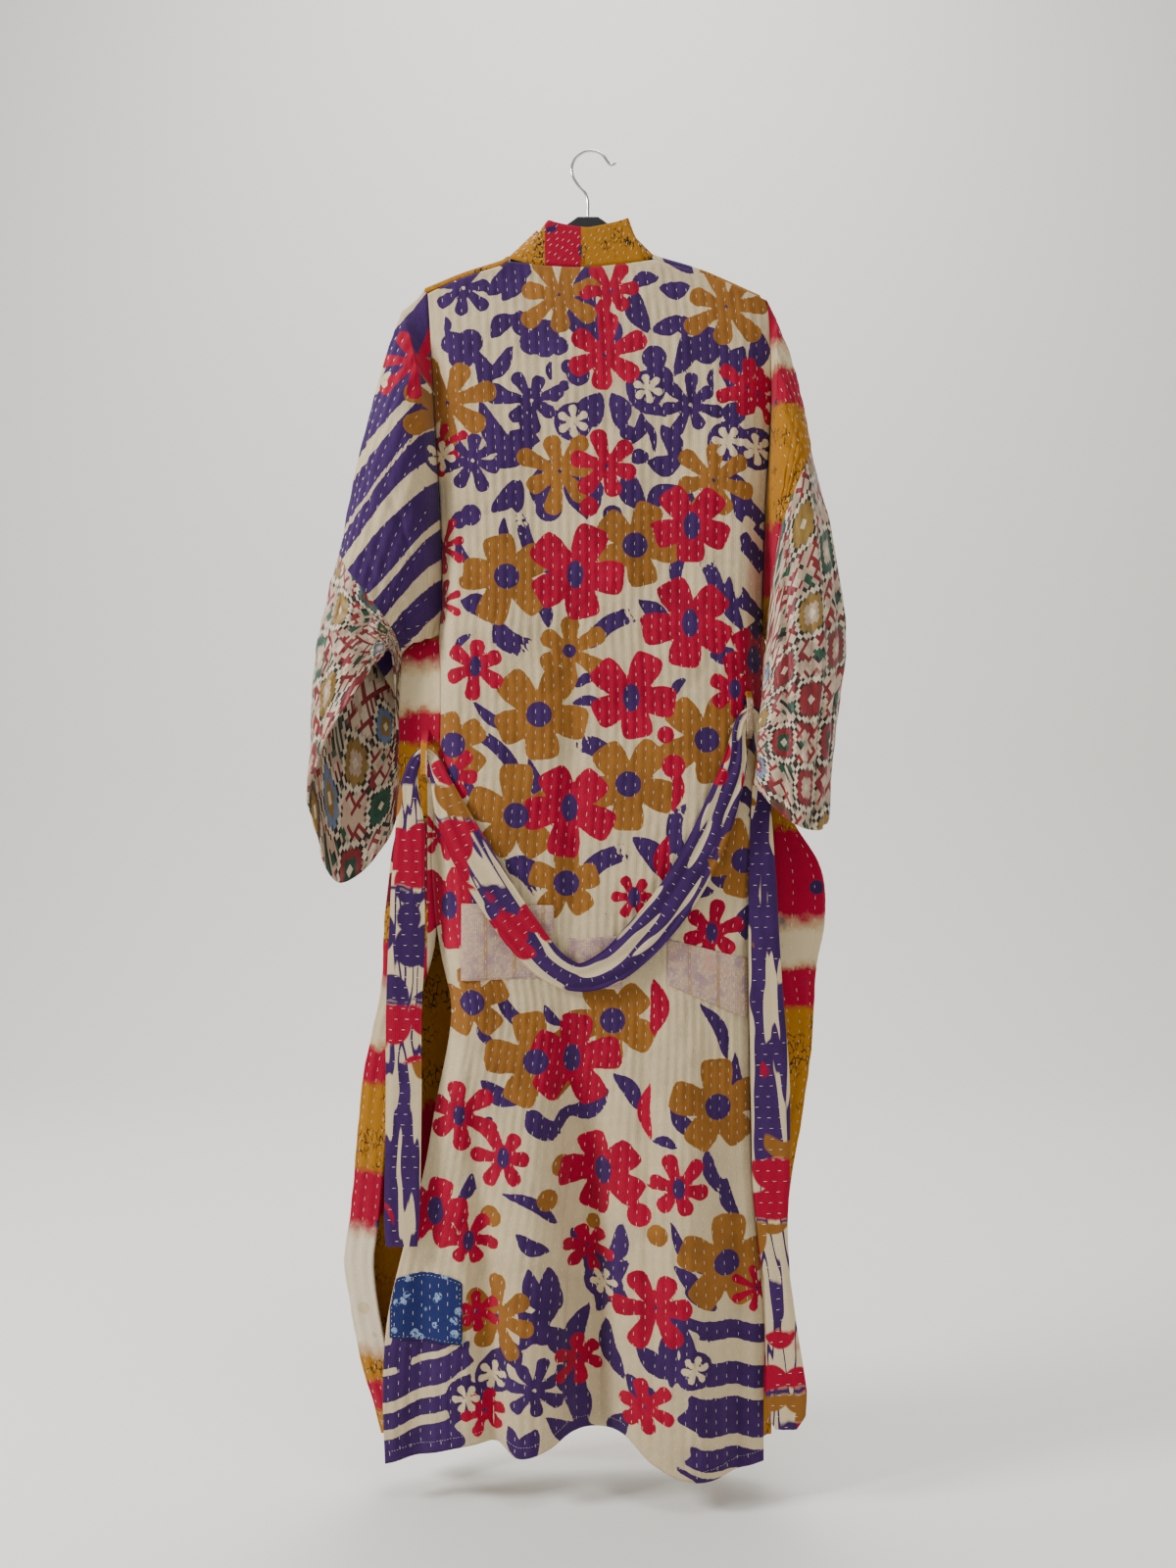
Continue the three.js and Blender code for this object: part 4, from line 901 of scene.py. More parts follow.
def makeSilk():
    # Thin printed silk: stepped diamonds and bands set at 45 degrees, outlined in black
    finish = Finish("printedSilk", 0.45, 0.15)
    finish.shader.inputs["Specular IOR Level"].default_value = 0.4
    cloth = finish.scaled(finish.along(), (17.0, 17.0, 1.0), 0.785)
    fine = finish.node("ShaderNodeVectorMath", {"operation": "SNAP"},
                       {0: cloth, 1: (0.0625, 0.0625, 1.0)})
    cell = finish.node("ShaderNodeVectorMath", {"operation": "FLOOR"}, {0: cloth})
    within = finish.node("ShaderNodeVectorMath", {"operation": "FRACTION"}, {0: fine})
    hue = finish.node("ShaderNodeTexWhiteNoise", {"noise_dimensions": "2D"}, {"Vector": cell})
    other = finish.node("ShaderNodeTexWhiteNoise", {"noise_dimensions": "3D"},
                        {"Vector": finish.node("ShaderNodeVectorMath", {"operation": "ADD"},
                                               {0: cell, 1: (7.3, 2.1, 0.4)})})
    fromMiddle = [hue.math("ABSOLUTE", finish.axis(within, k) - 0.47) for k in (0, 1)]
    square = fromMiddle[0].math("MAXIMUM", fromMiddle[0], fromMiddle[1])
    cross = fromMiddle[0].math("MINIMUM", fromMiddle[0], fromMiddle[1])
    stepped = square + cross * 0.7
    hooks = finish.node("ShaderNodeTexBrick", {"offset": 0.5, "squash": 1.0},
                        {"Vector": fine, "Color1": colour("ground"), "Color2": colour("bright"),
                         "Mortar": colour("red"), "Scale": 1.0, "Mortar Size": 0.035,
                         "Brick Width": 0.36, "Row Height": 0.25})
    comb = finish.wave(fine, "X", 1.27)
    blot = finish.noise(fine, 2.2, 1.0, 0.5)
    base = finish.blend(colour("ground"), hooks, blot.ramp(0.47, 0.48))
    base = finish.blend(base, colour("red"), comb.ramp(0.72, 0.73) * blot.ramp(0.54, 0.55))
    base = finish.blend(base, colour("green"), blot.ramp(0.40, 0.39) * comb.ramp(0.5, 0.51))
    base = finish.blend(base, colour("black"), blot.ramp(0.40, 0.39) * comb.ramp(0.16, 0.15))
    main = finish.blend(colour("red"), colour("green"), hue.ramp(0.45, 0.47))
    main = finish.blend(main, colour("slate"), hue.ramp(0.62, 0.64))
    main = finish.blend(main, colour("mustard"), hue.ramp(0.82, 0.84))
    heart = finish.blend(colour("mustard"), colour("red"), other.ramp(0.3, 0.32))
    heart = finish.blend(heart, colour("ground"), other.ramp(0.6, 0.62))
    heart = finish.blend(heart, colour("green", 0.8), other.ramp(0.85, 0.87))
    for low, high, paint in ((0.50, 0.49, colour("black")), (0.47, 0.46, colour("bright")),
                             (0.38, 0.37, colour("black")), (0.35, 0.34, main),
                             (0.22, 0.21, colour("black")), (0.19, 0.18, heart),
                             (0.10, 0.09, colour("black")), (0.07, 0.06, colour("bright"))):
        base = finish.blend(base, paint, stepped.ramp(low, high) * hue.ramp(0.16, 0.18))
    worn = finish.noise(finish.place(), 30.0, 3.0, 0.6)
    base = finish.shaded(base, worn.ramp(0.3, 0.6), 0.25)
    creased = finish.noise(finish.scaled(finish.along(), (60, 22, 1), 0.5), 1.0, 3.0, 0.55)
    fold = finish.noise(finish.scaled(finish.along(), (26, 9, 1), -0.35), 1.0, 2.0, 0.5)
    return finish.end(base, creased * 2.0 + fold * 4.0 + weave(finish, 1500.0) * 0.2, 0.0022)


def makePatchCotton():
    # Faded patch cotton: soft squares crossed by mustard and lilac stripes
    finish = Finish("patchCotton", 0.9, 0.06)
    place = finish.place()
    check = finish.node("ShaderNodeTexBrick", {"offset": 0.0},
                        {"Vector": finish.scaled(finish.along(), (85, 85, 1)), "Color1": colour("pale"),
                         "Color2": colour("cream", 0.95), "Mortar": colour("lilac"),
                         "Mortar Size": 0.05, "Brick Width": 1.0, "Row Height": 0.8})
    stripe = finish.wave(place, "X", 9.5, 0.6)
    cloud = finish.noise(place, 45.0, 3.0, 0.6)
    motif = finish.noise(place, 75.0, 2.0, 0.5)
    base = finish.blend(check, colour("mustard"), stripe.ramp(0.93, 0.98) * 0.6)
    base = finish.blend(base, colour("lilac"), motif.ramp(0.5, 0.62) * 0.6)
    base = finish.blend(base, colour("orange"), motif.ramp(0.36, 0.33) * cloud.ramp(0.5, 0.55) * 0.3)
    base = finish.blend(base, colour("pale"), cloud.ramp(0.4, 0.65) * 0.35)
    return finish.end(base, weave(finish), 0.0006)


beltBlocks = [  # From and to x, from and to z in mm, colour of the flowers there
    (-300, 0, -778, -740, "ochre"), (-300, 0, -856, -781, "crimson"),
    (-300, -165, -985, -862, "purple"), (-300, -165, -1055, -990, "crimson"),
    (0, 300, -1231, -1164, "crimson"), (0, 300, -1298, -1236, "ochre"),
    (0, 300, -1421, -1360, "crimson"), (0, 300, -1460, -1427, "ochre"),
]


def makeBeltCotton():
    # Purple bands run along the belt's own coordinates, with ochre and crimson flowers in blocks
    finish = Finish("beltCotton", 0.9, 0.08)
    along = finish.along()
    bands = finish.noise(finish.scaled(along, (70, 9, 1)), 1.0, 1.0, 0.5)
    parts = finish.noise(finish.scaled(along, (9, 7, 1)), 1.0, 2.0, 0.5)
    worn = finish.noise(along, 22.0, 3.0, 0.6)
    petals = finish.cells(finish.scaled(along, (28, 22, 1)))
    purple = finish.dyed("purple", 1, 1.35, worn.ramp(0.35, 0.7))
    base = finish.blend(colour("cream"), purple, bands.ramp(0.44, 0.455))
    base = finish.blend(base, colour("ochre"), parts.ramp(0.6, 0.61) * petals.ramp(0.5, 0.47))
    base = finish.blend(base, colour("crimson"), parts.ramp(0.41, 0.40) * petals.ramp(0.55, 0.52))
    place = finish.place()
    x, z = finish.axis(place, 0), finish.axis(place, 2)
    for *limits, dye in beltBlocks:
        block = inside(x, z + (worn - 0.5) * 0.03, limits, 0.002)
        base = finish.blend(base, colour("cream"), block * bands.ramp(0.5, 0.52))
        base = finish.blend(base, colour(dye), block * petals.ramp(0.62, 0.58))
    return finish.end(base, weave(finish), 0.0006)


def makeBluePatch():
    # Deep blue cotton with small pale sprigs
    finish = Finish("bluePatchCotton", 0.9, 0.06)
    place = finish.place()
    sprig = finish.cells(place, 62.0)
    scatter = finish.noise(place, 260.0, 2.0, 0.6)
    base = finish.dyed("blue", 1, 0.7, finish.noise(place, 40.0))
    base = finish.blend(base, colour("slate", 1.5), sprig.ramp(0.34, 0.28) * scatter.ramp(0.45, 0.5))
    return finish.end(base, weave(finish), 0.0006)


def makePlain(name, base, roughness, metallic=0.0, sheen=0.0):
    # One colour all over
    finish = Finish(name, roughness, sheen)
    finish.shader.inputs["Base Color"].default_value = base
    finish.shader.inputs["Metallic"].default_value = metallic
    return finish.material


def makeFlock():
    # Black flocked hanger: fine nap over plastic
    finish = Finish("hangerFlock", 0.95, 0.6)
    nap = finish.noise(finish.place(), 1400.0, 2.0, 0.6)
    base = finish.blend((0.004, 0.004, 0.005, 1), (0.02, 0.02, 0.022, 1), nap)
    return finish.end(base, nap, 0.0004)


cotton = makePrinted("printedCotton", "cream")
frontPrints = {  # floral parts of the fronts: from and to x, from and to z
    "left": [(-186, 0, -1180, -700), (-300, 0, -560, -330)],
    "right": [(0, 200, -1230, -640), (0, 130, -330, 0)],
    "neck": [(-60, 0, -1300, -700), (0, 60, -640, -420)], "sleeve": [],
}
fern = {key: makeFern(key + "Cotton", bands, frontPrints[key]) for key, bands in frontBands.items()}
reverse = makeFern("reverseCotton", [(-300, 300, -700, -500, "crimson"),
                                     (-300, 300, -1250, -1120, "crimson"),
                                     (-300, 300, -1500, -1420, "cream")])
silk = makeSilk()
patchCotton = makePatchCotton()
bluePatch = makeBluePatch()
beltCotton = makeBeltCotton()
thread = makePlain("stitchThread", colour("stitch"), 0.8, sheen=0.2)
chrome = makePlain("hookChrome", (0.72, 0.72, 0.74, 1), 0.18, 1.0)
flock = makeFlock()

print("materials ready")

# Pieces


def clothCoordinates(grid):
    # Distance across and down the cloth, in millimetres, measured along the grid's lines
    across = np.linalg.norm(np.diff(grid, axis=1), axis=2).mean(0)
    down = np.linalg.norm(np.diff(grid, axis=0), axis=2).mean(1)
    u = np.concatenate([[0], np.cumsum(across)])[None, :]
    v = -np.concatenate([[0], np.cumsum(down)])[:, None]
    return np.stack([u + 0 * v, v + 0 * u], -1)


def seamInward(side, z):
    # Into the cloth at a side seam: across the line from the back's seam to the front's
    sign = signOf[side]
    x = backValue(side + "X", z) - sign * 12
    along = frontPoint(side, z, 0.1 + 0 * z) - np.stack([x, backFaceY(x, z), z], -1)
    inward = np.stack([-sign * along[:, 1], sign * along[:, 0], 0 * z], -1)
    return inward / np.linalg.norm(inward, axis=1, keepdims=True)


def seamNormals(normals, grid, side, column):
    # At the side seam the cloth's thickness goes the same way on both panels
    z = grid[:, column, 2]
    held = (z < body["underarmZ"] - 2) & (z > body["slitTopZ"])
    normals[held, column] = -seamInward(side, z[held]) * 1.2
    return normals


quilting = {  # millimetres, and how many columns of a grid lie between two rows of stitches
    "panelColumns": 4, "sleeveColumns": 6, "ridge": 0.65, "pucker": 0.95, "height": 0.4, "sunk": 0.45,
}
stitchKinds = {  # how far apart stitches start, their length and their width, in millimetres
    "running": (12.6, 6.2, 1.1), "hem": (3.4, 2.5, 0.7), "band": (11.0, 5.5, 1.1),
    "belt": (12.0, 6.0, 1.1), "patch": (5.0, 3.0, 0.8),
}
wallStep = 4  # the inner wall has every fourth point of the outer one
# Creases of the back: from x, z to x, z, depth (a ridge is negative) and half width
backCreases = [
    (-172, -430, 178, -430, 0.9, 3.5), (-118, -190, -96, -330, 1.4, 9), (-60, -200, -48, -400, 1.0, 8),
    (30, -180, 22, -390, 1.3, 8), (118, -200, 128, -420, 1.4, 9), (60, -440, 66, -640, 1.2, 8),
    (-128, -460, -120, -700, 1.3, 9), (-50, -700, -62, -900, 1.1, 8), (20, -640, 12, -860, 1.2, 8),
    (-150, -560, -80, -640, 1.0, 7), (168, -560, 100, -650, 1.2, 8), (140, -760, 96, -860, 1.0, 8),
    (-60, -1222, -8, -1262, 1.6, 7), (-122, -1120, -80, -1162, 1.5, 7), (52, -1180, 96, -1216, 1.3, 8),
    (-140, -1300, -90, -1280, 1.1, 7), (30, -1330, 78, -1372, 1.3, 8), (120, -1080, 160, -1120, 1.1, 8),
    (-26, -940, -14, -1490, 4.2, 12), (-140, -890, -120, -1480, 3.6, 10),
    (62, -960, 74, -1490, 4.0, 11), (132, -1000, 140, -1500, 2.8, 10), (20, -1090, 34, -1480, -1.8, 11),
    (-90, -1010, -40, -1052, 1.1, 8), (6, -1000, 60, -1030, -0.9, 8), (-172, -1200, -140, -1420, 1.2, 7),
    (96, -1240, 104, -1450, 1.2, 8), (-20, -470, -26, -600, 0.9, 7), (150, -300, 156, -520, 1.1, 8),
]


def creaseDepth(x, z, creases):
    # Sum of troughs: depth x fades at both ends x exp(-(distance aside / half width)^2)
    total = np.zeros(x.shape)
    for fromX, fromZ, toX, toZ, depth, half in creases:
        length = np.hypot(toX - fromX, toZ - fromZ)
        wayX, wayZ = (toX - fromX) / length, (toZ - fromZ) / length
        along = ((x - fromX) * wayX + (z - fromZ) * wayZ) / length
        aside = (x - fromX) * wayZ - (z - fromZ) * wayX
        total += (depth * np.exp(-(aside / half) ** 2) * smooth(along, -0.12, 0.3)
                  * (1 - smooth(along, 0.7, 1.12)))
    return total


def unevenness(rows, columns, cellRows, cellColumns, seed):
    # Seeded numbers from -1 to 1 on a coarse grid, joined smoothly
    coarse = np.random.default_rng(seed).uniform(-1, 1, (rows // cellRows + 3,
                                                         columns // cellColumns + 3, 1))
    j = np.arange(rows)[:, None] / cellRows + np.zeros((1, columns))
    i = np.arange(columns)[None, :] / cellColumns + np.zeros((rows, 1))
    return onGrid(coarse, np.floor(j) + smooth(j % 1, 0, 1), np.floor(i) + smooth(i % 1, 0, 1))[..., 0]


def quiltRelief(rows, columns, apart, seed):
    # Height of quilted cloth: low along each row of stitches, high between, unevenly puckered
    place = (np.arange(columns)[None, :] - apart / 2) / apart
    ridges = -quilting["ridge"] * np.cos(2 * np.pi * place)
    pucker = unevenness(rows, columns, 4, apart // 2, seed) * quilting["pucker"] * 0.5
    soft = unevenness(rows, columns, 14, 3 * apart, seed + 1) * quilting["pucker"]
    return ridges * (1 + 0.4 * unevenness(rows, columns, 5, apart, seed + 2)) + pucker + soft


def lowest(relief):
    # Least height within a step of the inner wall each way, so that this coarser wall stays below
    padded = np.pad(relief, wallStep, mode="edge")
    windows = np.lib.stride_tricks.sliding_window_view(padded, (2 * wallStep + 1,) * 2)
    return np.minimum(windows.min(axis=(2, 3)), 0)[..., None]


def stitchLines(rows, columns, apart, firstRow=0):
    # Rows of stitches down a grid's columns, in the middle of every group of columns
    j = np.arange(firstRow, rows, dtype=float)
    return [(j, 0 * j + column) for column in np.arange(apart / 2, columns - 1, apart)]


def hemRow(rows, columns, count):
    # A line for stitches across a grid, a little above its hem
    i = np.linspace(0.5, columns - 1.5, count)
    return [(0 * i + rows - 5, i)]


def makeStitches(name, grid, normals, lines, seed, kind="running"):
    # Running stitches: low ridges of 4 by 3 points along lines on a grid, their rims in the cloth
    pitch, dash, width = stitchKinds[kind]
    rng = np.random.default_rng(seed)
    share, rise = np.array([0, 0.28, 0.72, 1]), np.array([-1.0, 1, 1, -1])
    found = []
    for j, i in lines:
        line, facing = onGrid(grid, j, i), onGrid(normals, j, i)
        along = np.concatenate([[0], np.cumsum(np.linalg.norm(np.diff(line, axis=0), axis=1))])
        starts = np.arange(rng.uniform(0.1, 1) * pitch, along[-1] - dash, pitch)
        starts = starts + rng.uniform(-0.1, 0.1, len(starts)) * pitch
        at = starts[:, None] + share * dash * rng.uniform(0.85, 1.1, (len(starts), 1))
        center = np.stack([np.interp(at, along, line[:, k]) for k in range(3)], -1)
        up = np.stack([np.interp(at, along, facing[:, k]) for k in range(3)], -1)
        across = np.cross(center[:, -1:] - center[:, :1], up)
        across /= np.maximum(np.linalg.norm(across, axis=2, keepdims=True), 1e-6)
        high = np.where(rise > 0, quilting["height"], -quilting["sunk"])[None, :, None]
        half = width / 2 * np.where(rise > 0, 1, 0.5)[None, :, None]
        side = up * -quilting["sunk"]
        found.append(np.stack([center + across * half + side, center + up * high,
                               center - across * half + side], 2))
    points = np.concatenate(found)
    count = len(points)
    base = (np.arange(count) * 12)[:, None, None, None]
    k, m = np.meshgrid(np.arange(3), np.arange(2), indexing="ij")
    corner = k * 3 + m
    quads = base + np.stack([corner, corner + 1, corner + 4, corner + 3], -1)[None]
    points, quads = points.reshape(-1, 3), quads.reshape(-1, 4)
    first = quads[0]
    out = np.cross(points[first[1]] - points[first[0]], points[first[3]] - points[first[0]])
    if out @ (points[1] - (points[0] + points[2]) / 2) < 0:
        quads = quads[:, ::-1]
    return makePiece(name, points, [quads], [thread])


def tubeArea(grid):
    # Sum of a closed grid's cells, each half the cross product of its diagonals
    grid = np.concatenate([grid, grid[:, :1]], axis=1)
    diagonals = grid[1:, 1:] - grid[:-1, :-1], grid[1:, :-1] - grid[:-1, 1:]
    return np.linalg.norm(np.cross(*diagonals), axis=2).sum() / 2


def declareSheet(piece, uv, area=None):
    # The cut of a cloth is its own length along and across, and its area where it tapers
    width, length = (uv[..., k].max() - uv[..., k].min() for k in (0, 1))
    share = 1 if area is None else min(area / (width * length), 1)
    print(f"{piece.name}: flat {width:.0f} x {length:.0f} mm, {share:.2f} of that area")
    width, length = width * millimetre, length * millimetre
    share * width * length


panels = {  # the first row with stitches, the seeds of relief, stitches and hem, points along it
    "back": {"firstRow": 2, "relief": 11, "stitches": 21, "hem": 31, "hemPoints": 600},
    "frontLeft": {"firstRow": 14, "relief": 40, "stitches": 41, "hem": 42, "hemPoints": 400},
    "frontRight": {"firstRow": 14, "relief": 60, "stitches": 61, "hem": 62, "hemPoints": 400},
}
backPoints = (433, 145)  # rows and columns of the grids
frontPoints = {"wrapRows": 9, "rows": 352, "columns": 97}


def makePanel(name, node, grid, normals, relief, material, ownFacing):
    # A quilted wall on a grid with its rows of stitches, its hem and its cut
    panel = panels[name]
    rows, columns = grid.shape[:2]
    outer = grid + normals * relief[..., None]
    inner = grid - normals * (body["wall"] - lowest(relief))
    uv = clothCoordinates(grid)
    piece = wallPiece(name + "Cloth", outer, inner, wallStep, False, [material, reverse],
                      uv, cottonPrint(grid), replaced=(node,))
    facing = normals
    if ownFacing:  # stitches lean with the creases
        facing = gridNormals(outer)
        facing = facing * np.sign((facing * normals).sum(2, keepdims=True))
    lines = stitchLines(rows, columns, quilting["panelColumns"], panel["firstRow"])
    stitches = makeStitches(name + "Stitches", outer, facing, lines, panel["stitches"])
    hem = makeStitches(name + "HemStitches", outer, facing, hemRow(rows, columns, panel["hemPoints"]),
                       panel["hem"], "hem")
    declareSheet(piece, uv)


def makeBack():
    # The back's relief: quilting less its creases, held flat at its edges
    grid = backGrid(*backPoints)
    normals = gridNormals(grid)
    if normals[..., 1].mean() > 0:
        normals = -normals
    for side, column in (("left", 0), ("right", -1)):
        normals = seamNormals(normals, grid, side, column)
    rows, columns = grid.shape[:2]
    share = np.linspace(0, 1, columns)[None, :]
    down = np.linspace(0, 1, rows)[:, None]
    held = smooth(np.minimum(share, 1 - share), 0, 0.03) * smooth(np.minimum(down, 1 - down), 0, 0.008)
    relief = (quiltRelief(rows, columns, quilting["panelColumns"], panels["back"]["relief"])
              - creaseDepth(grid[..., 0], grid[..., 2], backCreases)) * held
    makePanel("back", "back_panel", grid, normals, relief, cotton, True)


def makeFront(side):
    # A front's relief: quilting, held flat over the shoulder and at the side and front edges
    name = "front" + side.title()
    grid = frontGrid(side, **frontPoints)
    normals = gridNormals(grid)
    if normals[200:, 50, 1].mean() < 0:
        normals = -normals
    normals = seamNormals(normals, grid, side, 0)
    rows, columns = grid.shape[:2]
    share = np.linspace(0, 1, columns)[None, :]
    down = np.arange(rows)[:, None]
    held = smooth(np.minimum(share, 1 - share), 0, 0.04) * smooth(down, 12, 24)
    relief = quiltRelief(rows, columns, quilting["panelColumns"], panels[name]["relief"]) * held
    makePanel(name, f"front_{side}_panel", grid, normals, relief, fern[side], False)


sleeveSizes = {"around": 180, "upperRows": 78, "armholeRows": 7, "lowerRows": 65, "firstRow": 10}
sleeveWalls = {"Upper": 2.0, "Lower": 1.0}  # millimetres
sleeveSlots = {"Upper": "printed_cotton", "Lower": "printed_silk"}
sleeveSeeds = {"left": {"relief": 80, "stitches": 85}, "right": {"relief": 100, "stitches": 105}}
sleeveCotton = {"left": cotton, "right": fern["sleeve"]}


def sleeveGrid(side, fromStation, toStation, rows, armholeRows=0):
    # Rings of a sleeve between two stations, with rows before them that lead in from the armhole
    turn = np.arange(sleeveSizes["around"]) / sleeveSizes["around"]
    rings = sleeveRings(side, np.linspace(fromStation, toStation, rows), turn)
    if not armholeRows:
        return rings
    armhole = armholeRing(side, turn)
    share = np.linspace(0, 1, armholeRows, endpoint=False)[:, None, None]
    return np.concatenate([mix(armhole[None], rings[:1], share), rings])


def closedCoordinates(grid, cell=58.8):
    # Turn x a whole number of cells around, and distance down the tube
    down = np.linalg.norm(np.diff(grid, axis=0), axis=2).mean(1)
    around = np.linalg.norm(np.roll(grid, -1, 1) - grid, axis=2).sum(1).mean()
    u = np.linspace(0, round(around / cell) * cell, grid.shape[1] + 1)[None, :-1]
    v = -np.concatenate([[0], np.cumsum(down)])[:, None]
    return np.stack([u + 0 * v, v + 0 * u], -1)


# Folds down the thin sleeves: turn, drift of the turn down the sleeve, depth and half width
silkFolds = {
    "left": [(0.10, 0.03, 5.0, 0.020), (0.18, -0.02, 3.5, 0.016), (0.27, 0.03, 6.0, 0.022),
             (0.36, -0.03, 4.0, 0.018), (0.55, 0.02, 5.0, 0.02), (0.68, 0.03, 4.0, 0.02),
             (0.82, -0.02, 5.0, 0.022), (0.92, 0.02, 3.5, 0.018)],
    "right": [(0.08, 0.02, 4.0, 0.018), (0.16, 0.03, 5.0, 0.02), (0.25, -0.03, 3.5, 0.016),
              (0.33, 0.02, 5.5, 0.022), (0.50, 0.03, 4.0, 0.02), (0.63, -0.02, 4.5, 0.02),
              (0.77, 0.03, 4.0, 0.018), (0.90, -0.02, 4.5, 0.02)],
}
# Creases of the upper sleeves: turn, share down, slope, depth and half width, in shares
sleeveCreases = [(0.15, 0.75, 0.5, 2.4, 0.03), (0.30, 0.60, -0.4, 2.0, 0.03),
                 (0.22, 0.90, 0.3, 2.2, 0.03), (0.40, 0.80, -0.5, 2.4, 0.035),
                 (0.62, 0.70, 0.4, 2.2, 0.03), (0.80, 0.85, -0.4, 2.4, 0.03),
                 (0.55, 0.92, 0.3, 2.0, 0.03), (0.92, 0.55, 0.4, 1.8, 0.03)]


def silkRelief(side, rows, around):
    # Folds along the sleeve that fade in below the join, and fine crinkles across them
    down, turn = np.linspace(0, 1, rows)[:, None], (np.arange(around) / around)[None, :]
    total = np.zeros((rows, around))
    for at, drift, depth, half in silkFolds[side]:
        apart = (turn - at - drift * down + 0.5) % 1 - 0.5
        total -= depth * np.exp(-(apart / half) ** 2) * smooth(down, 0.02, 0.35)
    seam = smooth(np.minimum(turn, 1 - turn), 0, 0.02)
    fine = unevenness(rows, around, 3, 5, 71) * 1.1 + unevenness(rows, around, 9, 11, 72) * 2.2
    return (total + fine * smooth(down, 0.0, 0.1)) * seam + 0 * down


def quiltedSleeveRelief(rows, around, seed):
    # Quilting less creases: depth x exp(-(distance aside / half width)^2 - (turn apart / 0.09)^2)
    down, turn = np.linspace(0, 1, rows)[:, None], (np.arange(around) / around)[None, :]
    relief = quiltRelief(rows, around, quilting["sleeveColumns"], seed)
    for at, level, slope, depth, half in sleeveCreases:
        apart = (turn - at + 0.5) % 1 - 0.5
        aside = down - level - slope * apart
        relief = relief - depth * np.exp(-(aside / half) ** 2 - (apart / 0.09) ** 2)
    relief = relief * smooth(down, 0, 0.12) * (1 - smooth(down, 0.97, 1))
    return relief * smooth(np.minimum(turn, 1 - turn), 0, 0.012)


def makeSleevePart(side, part, grid, relief, material, values=None):
    # One cloth of a sleeve: a tube with its relief outside, its cut and, on the upper one, stitches
    normals = gridNormals(grid, closed=True)
    if ((grid - grid.mean(1, keepdims=True)) * normals).sum(2).mean() < 0:
        normals = -normals
    outer = grid + normals * relief[..., None]
    inner = grid - normals * (sleeveWalls[part] - lowest(relief))
    uv = closedCoordinates(grid)
    period = uv[0, 1, 0] * grid.shape[1]
    name, slotName = "sleeve" + side.title(), sleeveSlots[part]
    piece = wallPiece(name + part, outer, inner, wallStep, True, [material], uv, values,
                      (f"sleeve_{side}_{part.lower()}",), period)
    if part == "Upper":
        lines = stitchLines(*grid.shape[:2], quilting["sleeveColumns"], sleeveSizes["firstRow"])
        makeStitches(name + "Stitches", outer, normals, lines,
                                  sleeveSeeds[side]["stitches"])
    flat = np.array([[0, 0], [period, -uv[..., 1].min()]])
    declareSheet(piece, flat, tubeArea(grid))


def makeSleeve(side):
    # Quilted cotton from the armhole to the join, and thin silk from there to the cuff
    join = joinStation[side]
    upper = sleeveGrid(side, 0, join, sleeveSizes["upperRows"], sleeveSizes["armholeRows"])
    relief = quiltedSleeveRelief(*upper.shape[:2], sleeveSeeds[side]["relief"])
    makeSleevePart(side, "Upper", upper, relief, sleeveCotton[side], cottonPrint(upper, side))
    lower = sleeveGrid(side, join, lastStation, sleeveSizes["lowerRows"])
    makeSleevePart(side, "Lower", lower, silkRelief(side, *lower.shape[:2]), silk)


band = {
    # height on the front (or over the neck) and how far the free edge lies in, away and up
    "reach": np.array([[-110, 28, 2, 36], [-150, 40, 3, 22], [-200, 46, 4, 14], [-300, 49, 3, 8],
                       [-500, 50, 1, 2], [-1510, 50, 0, 0]], float),
    "height": 44, "cornerRise": 4, "lean": -5, "leanLeft": 26, "leanRight": 18,
    "columns": 13, "step": 4.0, "stitchRows": 2.7, "stitchSlope": 0.9,
}


def refined(corners, step):
    # Places along a polyline, as fractions of its corners, closer than a step in millimetres
    lengths = np.linalg.norm(np.diff(corners, axis=0), axis=1)
    counts = np.maximum(np.ceil(lengths / step).astype(int), 1)
    parts = [k + np.arange(count) / count for k, count in enumerate(counts)]
    return np.concatenate(parts + [[len(lengths)]]) / len(lengths)


def bandGrid():
    # Seam line: up the left front's edge, round the back neck, down the right front's edge;
    # each row goes from the seam to the free edge, and the solids' rows lie on it
    seams, frees = [], []
    for side in ("left", "right"):
        seam = frontGrid(side, 4, lastRow + 1, 14)[1:, -1]
        reach = [through(band["reach"][:, 0], band["reach"][:, k], seam[:, 2]) for k in (1, 2, 3)]
        sign = signOf[side]
        free = np.stack([-sign * reach[0], reach[1], reach[2]], -1)
        seam = seam + np.array([-sign * body["seamGap"], 0, 0])
        seams.append(seam if side == "right" else seam[::-1])
        frees.append(free if side == "right" else free[::-1])
    neck = backGrid(lastRow + 1, 41)[0, 12:27] + np.array([0, 0, body["seamGap"]])
    share = np.linspace(0, 1, len(neck))
    rise = band["height"] + band["cornerRise"] * np.abs(2 * share - 1)
    lean = mix(band["leanLeft"], -band["leanRight"], share)
    neckFree = np.stack([lean, band["lean"] + 0 * share, rise], -1)
    seam = np.concatenate([seams[0], neck, seams[1]])
    free = np.concatenate([frees[0], neckFree, frees[1]])
    places = refined(seam, band["step"])
    seam, free = path(seam, places), path(free, places)
    share = np.linspace(0, 1, band["columns"])[None, :, None]
    return seam[:, None] + free[:, None] * share


